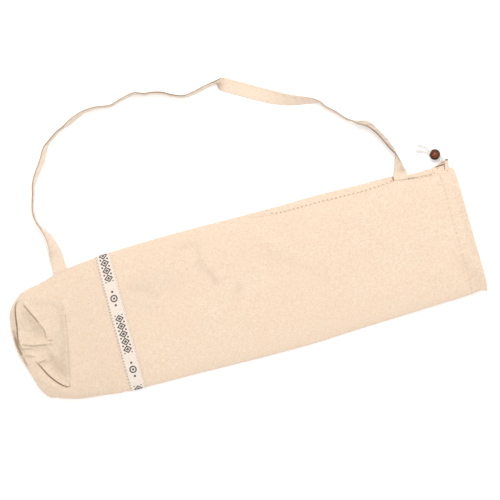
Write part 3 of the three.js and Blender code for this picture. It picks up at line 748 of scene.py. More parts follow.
def keep_rims_sharp(mesh):
    """Marks a sheet's free edges sharp, so that its faces shade smoothly right up to them."""
    edges = np.empty(len(mesh.loops), np.int32)
    mesh.loops.foreach_get("edge_index", edges)
    free = np.bincount(edges, minlength=len(mesh.edges)) == 1
    mesh.attributes.new("sharp_edge", "BOOLEAN", "EDGE").data.foreach_set("value", free)


def mesh_piece(name, points, faces, material, slot, attributes=None, thickness=0.0):
    """An object of its own at the origin from points in mm and faces, riding on the bag, with its named
    per-point attributes."""
    mesh = bpy.data.meshes.new(name)
    mesh.from_pydata((np.asarray(points).reshape(-1, 3) * MM).tolist(), [], [list(f) for f in faces])
    mesh.polygons.foreach_set("use_smooth", [True] * len(mesh.polygons))
    for label, values in (attributes or {}).items():
        values = np.asarray(values, np.float32)
        kind, field = ("FLOAT", "value") if values.ndim == 1 else ("FLOAT_VECTOR", "vector")
        layer = mesh.attributes.new(label, kind, "POINT")
        layer.data.foreach_set(field, values.ravel())
    mesh.materials.append(material)
    mesh.update()
    piece = bpy.data.objects.new(name, mesh)
    bpy.context.scene.collection.objects.link(piece)
    if thickness:
        keep_rims_sharp(mesh)
        wall = piece.modifiers.new("wall", "SOLIDIFY")
        wall.thickness = thickness * MM
        wall.offset = -1
    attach(piece, "root")
    return piece


def linear(colour):
    """An sRGB hex colour as linear red, green, blue and alpha."""
    parts = [int(colour[i : i + 2], 16) / 255 for i in (1, 3, 5)]
    return [p / 12.92 if p <= 0.04045 else ((p + 0.055) / 1.055) ** 2.4 for p in parts] + [1]


def add_node(tree, kind, inputs=None, **settings):
    """Adds a node. settings are its own properties, and inputs its sockets, each with a value or the output
    socket that feeds it."""
    made = tree.nodes.new(kind)
    for name, value in settings.items():
        setattr(made, name, value)
    for key, value in (inputs or {}).items():
        if isinstance(value, bpy.types.NodeSocket):
            tree.links.new(value, made.inputs[key])
        else:
            made.inputs[key].default_value = value
    return made


def new_material(name, **shader):
    """A material with a Principled shader, given the values of the shader's sockets."""
    material = bpy.data.materials.new(name)
    material.use_nodes = True
    tree = material.node_tree
    shader_node = tree.nodes["Principled BSDF"]
    for socket, value in shader.items():
        shader_node.inputs[socket.replace("_", " ")].default_value = value
    return material, tree, shader_node


# Sockets that go by number below: in a colour Mix 0 is the share and 6 and 7 the two colours, and in a
# Map Range 1 and 2 are the span read and 3 and 4 the span given.

# Plain-weave cotton. A thread is about 0.45 mm, drawn at 0.8 mm so that it shows in a close view.
THREAD_SPACING = 0.8
SLUB_WIDTH = 1.2
SLUB_LENGTH = 5
GRAIN_SIZE = 1.7
PATCH_SIZE = 45
WRINKLE_SIZE = 7
WRINKLE_HEIGHT = 0.5
YARN_HEIGHT = 0.12
FLECK_SPACING = 9
FLECK_COLOUR = "#B08F68"

# Needle holes, drawn as painted shade: their spacing and radius, and how dark the side seam's and the hem's
# are.
NEEDLE_PITCH = 6.4
HOLE_RADIUS = 1.4
SEAM_HOLES = 0.85
HEM_HOLES = 0.3


def needle_holes(tree):
    """Painted shade at the needle holes of the cloth's two stitched lines: a soft round dip at every stitch.
    A hole of about 0.4 mm is drawn wider, as the shade of the dimple that the thread pulls round it."""
    place = add_node(tree, "ShaderNodeAttribute", attribute_name="stitch_lines").outputs["Vector"]
    line = add_node(tree, "ShaderNodeSeparateXYZ", {0: place})
    own = add_node(tree, "ShaderNodeSeparateXYZ", {0: add_node(tree, "ShaderNodeTexCoord").outputs["Object"]})
    depths = []
    for off, along, strength in (
        (line.outputs["Y"], line.outputs["X"], SEAM_HOLES),
        (line.outputs["Z"], own.outputs["Y"], HEM_HOLES),
    ):
        cell = add_node(tree, "ShaderNodeMath", {0: along, 1: NEEDLE_PITCH * MM}, operation="FLOORED_MODULO")
        from_hole = add_node(tree, "ShaderNodeMath", {0: cell.outputs[0], 1: NEEDLE_PITCH / 2 * MM},
                             operation="SUBTRACT")
        spot = add_node(tree, "ShaderNodeCombineXYZ", {0: from_hole.outputs[0], 1: off})
        distance = add_node(tree, "ShaderNodeVectorMath", {0: spot.outputs[0]}, operation="LENGTH")
        depth = add_node(tree, "ShaderNodeMapRange",
                         {0: distance.outputs["Value"], 1: 0.0, 2: HOLE_RADIUS * MM, 3: strength, 4: 0.0},
                         interpolation_type="SMOOTHSTEP")
        depths.append(depth.outputs[0])
    return add_node(tree, "ShaderNodeMath", {0: depths[0], 1: depths[1]}, operation="MAXIMUM").outputs[0]


def calico_material(name, cloth_colour, shade_colour, coordinates="object", turn_deg=0.0, stitched=False):
    """Unbleached calico: plain-woven cotton, washed but not dyed. The eye sees a matt cream cloth with thick
    and thin yarns both ways and a few seed flecks. The darker, warmer tone down in its creases, and at its
    needle holes when it is stitched, is painted shade."""
    material, tree, shader = new_material(name, Roughness=0.92, Sheen_Weight=0.4, Sheen_Roughness=0.4)
    shader.inputs["Specular IOR Level"].default_value = 0.25
    if coordinates == "object":
        place = add_node(tree, "ShaderNodeTexCoord").outputs["Object"]
    else:
        place = add_node(tree, "ShaderNodeAttribute", attribute_name=coordinates).outputs["Vector"]
    turned = add_node(tree, "ShaderNodeMapping",
                      {"Vector": place, "Rotation": (0, 0, math.radians(turn_deg))})
    vector = turned.outputs["Vector"]

    split = add_node(tree, "ShaderNodeSeparateXYZ", {0: vector})
    waves = []
    for axis in ("X", "Y"):
        turns = add_node(tree, "ShaderNodeMath", {0: split.outputs[axis], 1: math.pi / (THREAD_SPACING * MM)},
                         operation="MULTIPLY")
        waves.append(add_node(tree, "ShaderNodeMath", {0: turns.outputs[0]}, operation="SINE").outputs[0])
    crossing = add_node(tree, "ShaderNodeMath", {0: waves[0], 1: waves[1]}, operation="MULTIPLY")
    weave = add_node(tree, "ShaderNodeMath", {0: crossing.outputs[0]}, operation="ABSOLUTE").outputs[0]

    slubs = []
    for scale in ((1 / SLUB_LENGTH, 1 / SLUB_WIDTH), (1 / SLUB_WIDTH, 1 / SLUB_LENGTH)):
        stretched = add_node(tree, "ShaderNodeMapping",
                             {"Vector": vector, "Scale": (scale[0] / MM, scale[1] / MM, 0.1 / MM)})
        noise = add_node(tree, "ShaderNodeTexNoise",
                         {"Vector": stretched.outputs[0], "Scale": 1.0, "Detail": 3.0, "Roughness": 0.6})
        slubs.append(noise.outputs[0])
    both = add_node(tree, "ShaderNodeMath", {0: slubs[0], 1: slubs[1]}, operation="ADD")
    grain = add_node(tree, "ShaderNodeTexNoise",
                     {"Vector": vector, "Scale": 1 / (GRAIN_SIZE * MM), "Detail": 3.0, "Roughness": 0.7})
    yarns = add_node(tree, "ShaderNodeMath", {0: both.outputs[0], 1: grain.outputs[0]}, operation="ADD")
    slub = add_node(tree, "ShaderNodeMapRange", {0: yarns.outputs[0], 1: 1.15, 2: 1.85})

    tone = add_node(tree, "ShaderNodeMix", data_type="RGBA",
                    inputs={0: slub.outputs[0], 6: linear(cloth_colour[0]), 7: linear(cloth_colour[1])})
    patches = add_node(tree, "ShaderNodeTexNoise",
                       {"Vector": vector, "Scale": 1 / (PATCH_SIZE * MM), "Detail": 2.0})
    patch = add_node(tree, "ShaderNodeMapRange", {0: patches.outputs[0], 1: 0.35, 2: 0.65, 3: 0.0, 4: 0.25})
    toned = add_node(tree, "ShaderNodeMix", data_type="RGBA",
                     inputs={0: patch.outputs[0], 6: tone.outputs[2], 7: linear(cloth_colour[2])})

    cells = add_node(tree, "ShaderNodeTexVoronoi",
                     {"Vector": vector, "Scale": 1 / (FLECK_SPACING * MM), "Randomness": 1.0})
    speck = add_node(tree, "ShaderNodeMapRange", {0: cells.outputs["Distance"], 1: 0.07, 2: 0.03})
    flecked = add_node(tree, "ShaderNodeMix", data_type="RGBA",
                       inputs={0: speck.outputs[0], 6: toned.outputs[2], 7: linear(FLECK_COLOUR)})

    # Painted shade: the crease attribute, and the needle holes where stitched, darken the cloth towards the
    # shade tone.
    crease = add_node(tree, "ShaderNodeAttribute", attribute_name="crease").outputs["Fac"]
    if stitched:
        holes = needle_holes(tree)
        crease = add_node(tree, "ShaderNodeMath", {0: crease, 1: holes}, operation="MAXIMUM").outputs[0]
    shaded = add_node(tree, "ShaderNodeMix", data_type="RGBA",
                      inputs={0: crease, 6: flecked.outputs[2], 7: linear(shade_colour)})
    tree.links.new(shaded.outputs[2], shader.inputs["Base Color"])

    wrinkles = add_node(tree, "ShaderNodeTexNoise",
                        {"Vector": vector, "Scale": 1 / (WRINKLE_SIZE * MM), "Detail": 4.0,
                         "Roughness": 0.55})
    soft = add_node(tree, "ShaderNodeBump",
                    {"Height": wrinkles.outputs[0], "Distance": WRINKLE_HEIGHT * MM, "Strength": 0.5})
    yarn = add_node(tree, "ShaderNodeMath", {0: slub.outputs[0], 1: 0.35, 2: weave}, operation="MULTIPLY_ADD")
    fine = add_node(tree, "ShaderNodeBump",
                    {"Height": yarn.outputs[0], "Distance": YARN_HEIGHT * MM, "Strength": 0.6,
                     "Normal": soft.outputs[0]})
    tree.links.new(fine.outputs[0], shader.inputs["Normal"])
    return material


# Tones of the tube, the base panel and the strap, each of light yarns, dark yarns and uneven patches.
TUBE_TONES = ("#DAC8B4", "#C7AF98", "#D1B7A1")
# The panel's tones are a little darker than the tube's: painted shade over the same cloth.
PANEL_TONES = ("#D8C8B4", "#C4AE96", "#CEB59F")
STRAP_TONES = ("#DACAB8", "#CAB49E", "#D3BBA7")
# Colour of the painted shade in creases, seams, recesses, gaps and needle holes.
FOLD_SHADE_TONE = "#5C3B20"
PANEL_GRAIN_TURN = 24
canvas = calico_material("calico", TUBE_TONES, FOLD_SHADE_TONE, stitched=True)
panel_canvas = calico_material("calico_panel", PANEL_TONES, FOLD_SHADE_TONE, turn_deg=PANEL_GRAIN_TURN)
strap_canvas = calico_material("calico_strap", STRAP_TONES, FOLD_SHADE_TONE, coordinates="cloth")


def plain_cotton(name, colour, other, size):
    """Spun cotton: matt and soft, a little uneven in tone, in patches about size mm across."""
    material, tree, shader = new_material(name, Roughness=0.9, Sheen_Weight=0.2)
    place = add_node(tree, "ShaderNodeTexCoord").outputs["Object"]
    noise = add_node(tree, "ShaderNodeTexNoise", {"Vector": place, "Scale": 1 / (size * MM), "Detail": 3.0})
    mixed = add_node(tree, "ShaderNodeMix", data_type="RGBA",
                     inputs={0: noise.outputs[0], 6: linear(colour), 7: linear(other)})
    tree.links.new(mixed.outputs[2], shader.inputs["Base Color"])
    fuzz = add_node(tree, "ShaderNodeBump",
                    {"Height": noise.outputs[0], "Distance": FUZZ_HEIGHT * MM, "Strength": 0.5})
    tree.links.new(fuzz.outputs[0], shader.inputs["Normal"])
    return material


FUZZ_HEIGHT = 0.1
cord_cotton = plain_cotton("bleached_cotton_cord", "#E0DBD5", "#C9C2BA", 1.2)
thread_cotton = plain_cotton("sewing_thread", "#CDB899", "#B79F7C", 0.8)

# Bead's wood: dark and light grain, and painted shade, which is deepest low down and fades out near its top.
GRAIN_DARK = "#2E0F06"
GRAIN_LIGHT = "#8A4222"
BEAD_SHADE = "#140503"
BEAD_SHADE_DEEP_HEIGHT = 1.45 * BEAD_RADIUS
BEAD_SHADE_END_HEIGHT = 1.98 * BEAD_RADIUS
PORE_DEPTH = 0.08


def polished_wood():
    """Turned hardwood, stained dark red-brown and lacquered: fine grain along the bead under a clear coat,
    whose gloss is the only one, because the stained wood below it is matt."""
    material, tree, shader = new_material("stained_hardwood", Roughness=0.5, Coat_Weight=0.5,
                                          Coat_Roughness=0.2)
    shader.inputs["Specular IOR Level"].default_value = 0.0
    place = add_node(tree, "ShaderNodeTexCoord").outputs["Object"]
    along = add_node(tree, "ShaderNodeMapping",
                     {"Vector": place, "Rotation": (0, 0, -BEAD_AXIS_ANGLE)}, vector_type="TEXTURE")
    stretched = add_node(tree, "ShaderNodeMapping", {"Vector": along.outputs[0], "Scale": (90, 420, 420)})
    grain = add_node(tree, "ShaderNodeTexNoise",
                     {"Vector": stretched.outputs[0], "Scale": 1.0, "Detail": 4.0, "Distortion": 0.6})
    spread = add_node(tree, "ShaderNodeMapRange", {0: grain.outputs[0], 1: 0.3, 2: 0.7})
    mixed = add_node(tree, "ShaderNodeMix", data_type="RGBA",
                     inputs={0: spread.outputs[0], 6: linear(GRAIN_DARK), 7: linear(GRAIN_LIGHT)})
    # Painted shade: the wood darkens towards the bead's lower half, which lies in its own shade.
    height = add_node(tree, "ShaderNodeSeparateXYZ", {0: place}).outputs["Z"]
    low = add_node(tree, "ShaderNodeMapRange",
                   {0: height, 1: BEAD_SHADE_DEEP_HEIGHT * MM, 2: BEAD_SHADE_END_HEIGHT * MM, 3: 0.97, 4: 0.0})
    stained = add_node(tree, "ShaderNodeMix", data_type="RGBA",
                       inputs={0: low.outputs[0], 6: mixed.outputs[2], 7: linear(BEAD_SHADE)})
    tree.links.new(stained.outputs[2], shader.inputs["Base Color"])
    pores = add_node(tree, "ShaderNodeBump",
                     {"Height": grain.outputs[0], "Distance": PORE_DEPTH * MM, "Strength": 0.4})
    tree.links.new(pores.outputs[0], shader.inputs["Normal"])
    return material


bead_wood = polished_wood()


# Drawstring
def tube_along(line, radius, sides, ripple=None):
    """A round tube along a line of points: at each point a circle square to the line, whose radius is given
    for each step and turn. Its ends close to points, so the mesh has no holes."""
    line = np.asarray(line, float)
    ahead = np.gradient(line, axis=0)
    ahead /= np.linalg.norm(ahead, axis=1, keepdims=True)
    up = np.zeros_like(line)
    up[0] = np.cross(ahead[0], [0.31, 0.17, 0.93])
    for i in range(1, len(line)):
        up[i] = up[i - 1] - ahead[i] * (up[i - 1] @ ahead[i])
        up[i] /= np.linalg.norm(up[i])
    up[0] /= np.linalg.norm(up[0])
    side = np.cross(ahead, up)
    turns = 2 * np.pi * np.arange(sides) / sides
    size = np.broadcast_to(np.asarray(radius, float).reshape(-1, 1), (len(line), sides))
    if ripple is not None:
        size = size * ripple
    rings = line[:, None] + size[..., None] * (
        up[:, None] * np.cos(turns)[None, :, None] + side[:, None] * np.sin(turns)[None, :, None]
    )
    points = np.concatenate([rings.reshape(-1, 3), line[:1], line[-1:]])
    quads = grid_faces(len(line), sides, close_columns=True)[:, ::-1]
    k = np.arange(sides)
    next_k = (k + 1) % sides
    start = np.stack([k, next_k, np.full(sides, len(line) * sides)], -1)
    last = (len(line) - 1) * sides
    end = np.stack([last + next_k, last + k, np.full(sides, len(line) * sides + 1)], -1)
    return points, [*quads.tolist(), *start[:, ::-1].tolist(), *end[:, ::-1].tolist()]


CORD_LAY = 5.0
CORD_STRANDS = 3


def twisted_cord(line, at, radius, sides):
    """A cord laid from three strands: the tube's radius falls in a groove between each two, and the grooves
    turn once round in each CORD_LAY of length."""
    turns = 2 * np.pi * np.arange(sides) / sides
    phase = CORD_STRANDS / 2 * (turns[None, :] - 2 * np.pi * at[:, None] / CORD_LAY)
    ripple = 0.8 + 0.24 * np.abs(np.cos(phase))
    tight = np.where((at < 0.3) | (at > at[-1] - 0.3), 0.8, 1)
    return tube_along(line, radius * tight, sides, ripple)


def joined(parts):
    """Several meshes, each points and faces, as one."""
    points, faces, start = [], [], 0
    for part_points, part_faces in parts:
        points.append(np.asarray(part_points).reshape(-1, 3))
        faces += [[v + start for v in face] for face in part_faces]
        start += len(points[-1])
    return np.concatenate(points), faces


def tail_line(first, last, side):
    """The points of a tail: its start, the stretch beside the bead's axis, and its end."""
    beside = -np.array([-BEAD_AXIS[1], BEAD_AXIS[0], 0]) * side * TAIL_SPACING
    through = [BEAD_CENTRE + BEAD_AXIS * along + beside for along in (-BEAD_RADIUS, 0, BEAD_RADIUS)]
    level = [(p[0], p[1], CORD_LEVEL) for p in through]
    return curve_along([*first, *level, *last], 0.5)


def overhand_knot(centre, turn):
    """An overhand knot: the cord along the trefoil (sin t + 2 sin 2t, cos t - 2 cos 2t, -sin 3t), pulled
    tight and pressed flat on the floor."""
    t = np.linspace(0, 2 * np.pi, 72, endpoint=False)
    loop = np.stack([np.sin(t) + 2 * np.sin(2 * t), np.cos(t) - 2 * np.cos(2 * t), -1.2 * np.sin(3 * t)], -1)
    loop = np.concatenate([loop, loop[:1]]) * 0.62
    c, s = math.cos(turn), math.sin(turn)
    loop = loop @ np.array([[c, s, 0], [-s, c, 0], [0, 0, 1]]) + centre
    return twisted_cord(loop, np.linspace(0, 22, len(loop)), 0.95, 12)


def fibre_tuft(start, way, count, length, seed):
    """Loose fibres at the cord's cut end: each a thin tapering tube that fans out and curls down."""
    random = np.random.default_rng(seed)
    parts = []
    for _ in range(count):
        fan = random.uniform(-0.75, 0.75)
        lift = random.uniform(-0.1, 0.5)
        reach = length * random.uniform(0.5, 1.1)
        c, s = math.cos(fan), math.sin(fan)
        heading = np.array([way[0] * c - way[1] * s, way[0] * s + way[1] * c, lift])
        bend = random.uniform(-0.6, 0.6)
        u = np.linspace(0, 1, 8)[:, None]
        sideways = np.array([-heading[1], heading[0], 0])
        line = start + heading * reach * u + sideways * bend * reach * u**2
        line[:, 2] = np.maximum(0.25, line[:, 2] - 1.8 * u[:, 0] ** 2)
        parts.append(tube_along(line, np.linspace(0.2, 0.07, 8), 5))
    return joined(parts)


def bead():
    """A turned bead: the outer circle of its profile runs from rim to rim, the rims are rounded into the
    bore, and the whole is turned about the bead's axis."""
    rim = math.asin(BEAD_HOLE_RADIUS / BEAD_RADIUS) + 0.06
    outer = np.linspace(-math.pi / 2 + rim, math.pi / 2 - rim, 30)
    profile = [(BEAD_RADIUS * math.cos(a), BEAD_RADIUS * math.sin(a)) for a in outer]
    edge = BEAD_RADIUS * math.sin(math.pi / 2 - rim)
    bore = [(BEAD_HOLE_RADIUS + 0.15, edge - 0.1), (BEAD_HOLE_RADIUS, edge - 0.5), (BEAD_HOLE_RADIUS, 0),
            (BEAD_HOLE_RADIUS, 0.5 - edge), (BEAD_HOLE_RADIUS + 0.15, 0.1 - edge)]
    profile = np.array(profile + bore)
    turns = 2 * np.pi * np.arange(56) / 56
    side = np.array([-BEAD_AXIS[1], BEAD_AXIS[0], 0])
    up = np.array([0, 0, 1.0])
    rings = (
        BEAD_CENTRE
        + BEAD_AXIS * profile[None, :, 1:]
        + profile[None, :, :1] * (side * np.cos(turns)[:, None, None] + up * np.sin(turns)[:, None, None])
    )
    faces = grid_faces(len(turns), len(profile), close_rows=True, close_columns=True)
    return mesh_piece("wooden_bead", rings, faces, bead_wood, "bead_wood")


wooden_bead = bead()
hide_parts("toggle_bead")

# The two tails: letter, both ends, side of the bead's hole it runs on, and seed of its knot and tuft.
TAILS = (
    ("a", TAIL_A_START, TAIL_A_END, -1, 3),
    ("b", TAIL_B_START, TAIL_B_END, 1, 4),
)
for letter, first, last, side, seed in TAILS:
    line, at = tail_line(first, last, side)
    tail = mesh_piece("cord_tail_" + letter, *twisted_cord(line, at, CORD_RADIUS, 18), cord_cotton, "cord")
    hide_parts("drawstring_tail_" + letter)
    way = line[-1] - line[-3]
    way /= np.linalg.norm(way)
    centre = line[-1] + way * (KNOT_RADIUS + 0.1)
    tuft = fibre_tuft(centre + way * 1.6, way, 14, 5, seed)
    knotted = joined([overhand_knot(centre, seed), tuft])
    knot = mesh_piece("cord_knot_" + letter, *knotted, cord_cotton, "cord")
    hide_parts("tail_knot_" + letter)


# Tube
def tube_rows():
    """Stations of the tube's rows: close at the base, the ribbon and the mouth, further apart between."""
    roll = [0, 0.3, 0.8, 1.6, 2.6, 3.8]
    base = np.arange(5.2, 100, 1.6)
    stretches = [
        BASE_END + np.array(roll),
        BASE_END + base,
        np.arange(-242, -206, 3.2),
        np.arange(-204, -168, 1.7),
        np.arange(-165, 245, 5),
        np.arange(247, 300, 1.8),
        np.linspace(302, MOUTH_END, 23),
    ]
    return np.concatenate(stretches)


def tube_columns():
    """Places across the tube: close at its side folds and over the topstitched seam."""
    low_rim = [-1, -0.997, -0.99, -0.98]
    middle = np.linspace(-0.965, 0.875, 76)
    seam = np.linspace(0.886, 0.975, 14)
    return np.concatenate([low_rim, middle, seam, [0.985, 0.994, 1]])


def split_by_level(points, triangles, level):
    """Cuts the triangles along the line where level is 0, straight through the edges that it crosses.
    points may carry more columns than x, y and z, and the new points get values in between."""
    level = np.where(np.abs(level) < 1e-6, 1e-6, level)
    above = level[triangles] > 0
    mixed = above.any(1) & ~above.all(1)
    plain = triangles[~mixed]
    corners = triangles[mixed]
    signs = above[mixed]
    lone_sign = signs.sum(1) == 1
    lone = np.argmax(signs == lone_sign[:, None], axis=1)
    rows = np.arange(len(corners))
    a, b, c = (corners[rows, (lone + k) % 3] for k in range(3))

    keys = np.concatenate([np.sort(np.stack([a, b], 1), 1), np.sort(np.stack([a, c], 1), 1)])
    edges, which = np.unique(keys, axis=0, return_inverse=True)
    which = which.reshape(-1)
    start, end = edges[:, 0], edges[:, 1]
    u = (level[start] / (level[start] - level[end]))[:, None]
    new_points = points[start] * (1 - u) + points[end] * u
    ab = which[: len(a)] + len(points)
    ac = which[len(a) :] + len(points)
    pieces = [plain, np.stack([a, ab, ac], 1), np.stack([ab, b, c], 1), np.stack([ab, c, ac], 1)]
    return (
        np.concatenate([points, new_points]),
        np.concatenate(pieces),
        np.concatenate([level, np.zeros(len(new_points))]),
    )


def without_loose(points, faces):
    """The points that some face uses, and the faces renumbered to them."""
    used = np.unique(faces)
    number = np.full(len(points), -1)
    number[used] = np.arange(len(used))
    return points[used], number[faces]


def tube():
    """The tube's outer skin as one sheet: upper layer, low fold, lower layer, high fold and round again,
    closed at the base end, open at the mouth, along the drawstring's slit and inside the panel's seam.
    Solidify gives it its wall."""
    stations = tube_rows()[:, None]
    columns = tube_columns()
    upper, upper_dark = skin(stations, columns[None, :], True)
    lower, lower_dark = skin(stations, columns[None, 1:-1][:, ::-1], False)
    sheet = np.concatenate([upper, lower], axis=1)
    dark = np.concatenate([upper_dark, lower_dark], axis=1)
    rows, around = dark.shape
    data = np.concatenate([sheet.reshape(-1, 3), dark.reshape(-1, 1)], axis=1)

    # At the base end the two layers share one row of points.
    number = np.arange(rows * around)
    twin = np.concatenate([np.arange(len(columns)), np.arange(1, len(columns) - 1)[::-1]])
    number[:around] = twin
    quads = number[grid_faces(rows, around, close_columns=True)]

    # The slit: no faces beside the high fold between its two ends.
    first = np.arange(rows * around).reshape(rows, around)[grid_faces_index(rows, around)]
    row_station = np.repeat(stations[:-1, 0] + np.diff(stations[:, 0]) / 2, around)
    column = first % around
    fold_column = len(columns) - 1
    open_slit = (row_station > SLIT_START) & (row_station < SLIT_END)
    beside_fold = (column >= fold_column - 2) & (column <= fold_column + 1)
    quads = quads[~(open_slit & beside_fold)]

    triangles = np.concatenate([quads[:, [0, 1, 2]], quads[:, [0, 2, 3]]])
    distinct = (triangles[:, 0] != triangles[:, 1]) & (triangles[:, 1] != triangles[:, 2])
    triangles = triangles[distinct & (triangles[:, 0] != triangles[:, 2])]
    level = hole_level(data)
    data, triangles, level = split_by_level(data, triangles, level)
    inside = level[triangles].mean(1) < 0
    data, triangles = without_loose(data, triangles[~inside])
    piece = mesh_piece("canvas_tube", data[:, :3], triangles.tolist(), canvas, "canvas",
                       {"crease": data[:, 3], "stitch_lines": stitch_lines(data)}, thickness=WALL)
    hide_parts("tube_wall")
    return piece


def stitch_lines(data):
    """For the needle holes: each point's x and its distance from the side seam's stitches, and its distance
    from the hem's stitches, in metres. Points of the lower layer lie far from both."""
    x, y, z = data[:, 0], data[:, 1], data[:, 2]
    inward = high_edge(x) - y - seam_offset(x)
    past_ends = np.maximum(0, SIDE_SEAM[0, 0] + 45 - x) + np.maximum(0, x - SIDE_SEAM[-1, 0])
    lower = np.where(z > fold_level(x), 0, 50)
    across = 2 * (y - low_edge(x)) / (high_edge(x) - low_edge(x)) - 1
    hem = x + mouth_setback(across) - HEM_STITCHES
    return np.stack([x, inward + past_ends + lower, hem + lower], -1) * MM


def grid_faces_index(rows, around):
    """Index of each face's first point in a grid that closes round its columns, as (row, column)."""
    i, j = np.meshgrid(np.arange(rows - 1), np.arange(around), indexing="ij")
    return i.ravel(), j.ravel()


def hole_level(data):
    """Distance outside the panel's seam for points of the upper layer; points below it count as far out."""
    depth, _, _ = panel_depth(data[:, 0], data[:, 1])
    return np.where(data[:, 2] > 9.5, -depth, 1.0)


tube()


def base_panel():
    """The round base panel: rings from the seam in to its middle, each point on the line from the middle to
    the seam, at the upper layer's height. Its edge turns down into the seam."""
    spokes = closed_curve(PANEL_SEAM, PANEL_SPOKES // len(PANEL_SEAM))[:, :2]
    shares = 1 - np.linspace(0, 1, PANEL_RINGS) ** PANEL_RING_POWER * PANEL_RING_REACH
    centre = np.array(PANEL_CENTRE)
    plan = centre + (spokes[None] - centre) * shares[:, None, None]
    x, y = plan[..., 0], plan[..., 1]
    z, dark = panel_height(x, y)
    rings = np.stack([x, y, z], -1).reshape(-1, 3)
    middle_height, _ = panel_height(centre[:1], centre[1:])
    points = np.concatenate([rings, [[centre[0], centre[1], middle_height[0]]]])
    dark = np.concatenate([dark.ravel(), [0]])
    faces = grid_faces(len(shares), len(spokes), close_columns=True).tolist()
    last = (len(shares) - 1) * len(spokes)
    k = np.arange(len(spokes))
    faces += np.stack([last + k, np.full(len(k), len(points) - 1), last + (k + 1) % len(k)], -1).tolist()
    piece = mesh_piece("base_panel", points, faces, panel_canvas, "canvas", {"crease": dark}, thickness=WALL)
    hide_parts("base_disc")
    return piece


def panel_height(x, y):
    """Height of the panel over the floor in plan: that of the tube's upper layer at the same place."""
    station, across = place_on_tube(x, y)
    return skin(station, across, True)[0][..., 2], skin(station, across, True)[1]


def place_on_tube(x, y):
    """Station and place across for points in plan near the base, found by stepping towards them."""
    station = np.array(x, float)
    across = np.zeros_like(station)
    for _ in range(12):
        along = station - BASE_END
        share = 1 - smoothstep(along / BASE_BEND_LENGTH)
        low = low_edge(station + base_setback(-1.0) * share)
        high = high_edge(station + base_setback(1.0) * share)
        across = np.clip(2 * (y - low) / (high - low) - 1, -1, 1)
        station = np.maximum(BASE_END, x - base_setback(across) * share)
    return station, across


base_panel()


# Ribbon
def ribbon_tape():
    """The tape round the tube: its section, a flat strip with thicker selvedges, is carried round the skin
    over the upper layer and back under the lower one."""
    columns = tube_columns()
    offsets = np.array([-11, -10.9, -10.5, -9.8, -9.2, -6, -3, 0, 3, 6, 9.2, 9.8, 10.5, 10.9, 11])
    selvedge = np.exp(-(((np.abs(offsets) - 10.1) / 0.6) ** 2))
    outside = RIBBON_GAP + 0.62 + 0.16 * selvedge
    outside[[0, -1]] = RIBBON_GAP + 0.3
    profile = [(o, t) for o, t in zip(offsets, outside)] + [(o, RIBBON_GAP) for o in offsets[::-3]]
    rings, uv = [], []
    around = np.concatenate([columns, columns[1:-1][::-1]])
    for offset, out in profile:
        station = RIBBON_MIDDLE + offset
        top = skin(station, columns, True, -out)[0]
        bottom = skin(station, columns[1:-1][::-1], False, -out)[0]
        bottom[:, 2] = np.maximum(bottom[:, 2], 0.02)
        rings.append(np.concatenate([top, bottom]))
    rings = np.array(rings)
    steps = np.linalg.norm(np.diff(rings[0], axis=0), axis=1)
    run = np.concatenate([[0], np.cumsum(steps)])
    run = np.interp(CHAIN_START, rings[0, : len(columns), 1], run[: len(columns)]) - run
    for offset, _ in profile:
        uv.append(np.stack([run, np.full(len(around), offset), np.zeros(len(around))], -1))
    faces = grid_faces(len(profile), len(around), close_rows=True, close_columns=True)
    piece = mesh_piece("ribbon_tape", rings, faces, ribbon_cloth, "ribbon",
                       {"cloth": np.array(uv).reshape(-1, 3) * MM})
    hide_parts("ribbon_band")
    return piece


CHAIN_START = 8.4  # y of the first diamond on the upper layer
# Print on the tape: a chain of diamonds, then bare tape with a ring and two dots in its middle.
PRINT_REPEAT = 106
DIAMOND_LENGTH = 11.4
DIAMOND_HALF_WIDTH = 6.6
CHAIN_LENGTH = 5 * DIAMOND_LENGTH
RING_PLACE = 81.5
RING_RADIUS = 4.4
DOT_PLACE = 10
TAPE_NEEDLE_PITCH = 4.6
TAPE_NEEDLE_LINE = 10.2


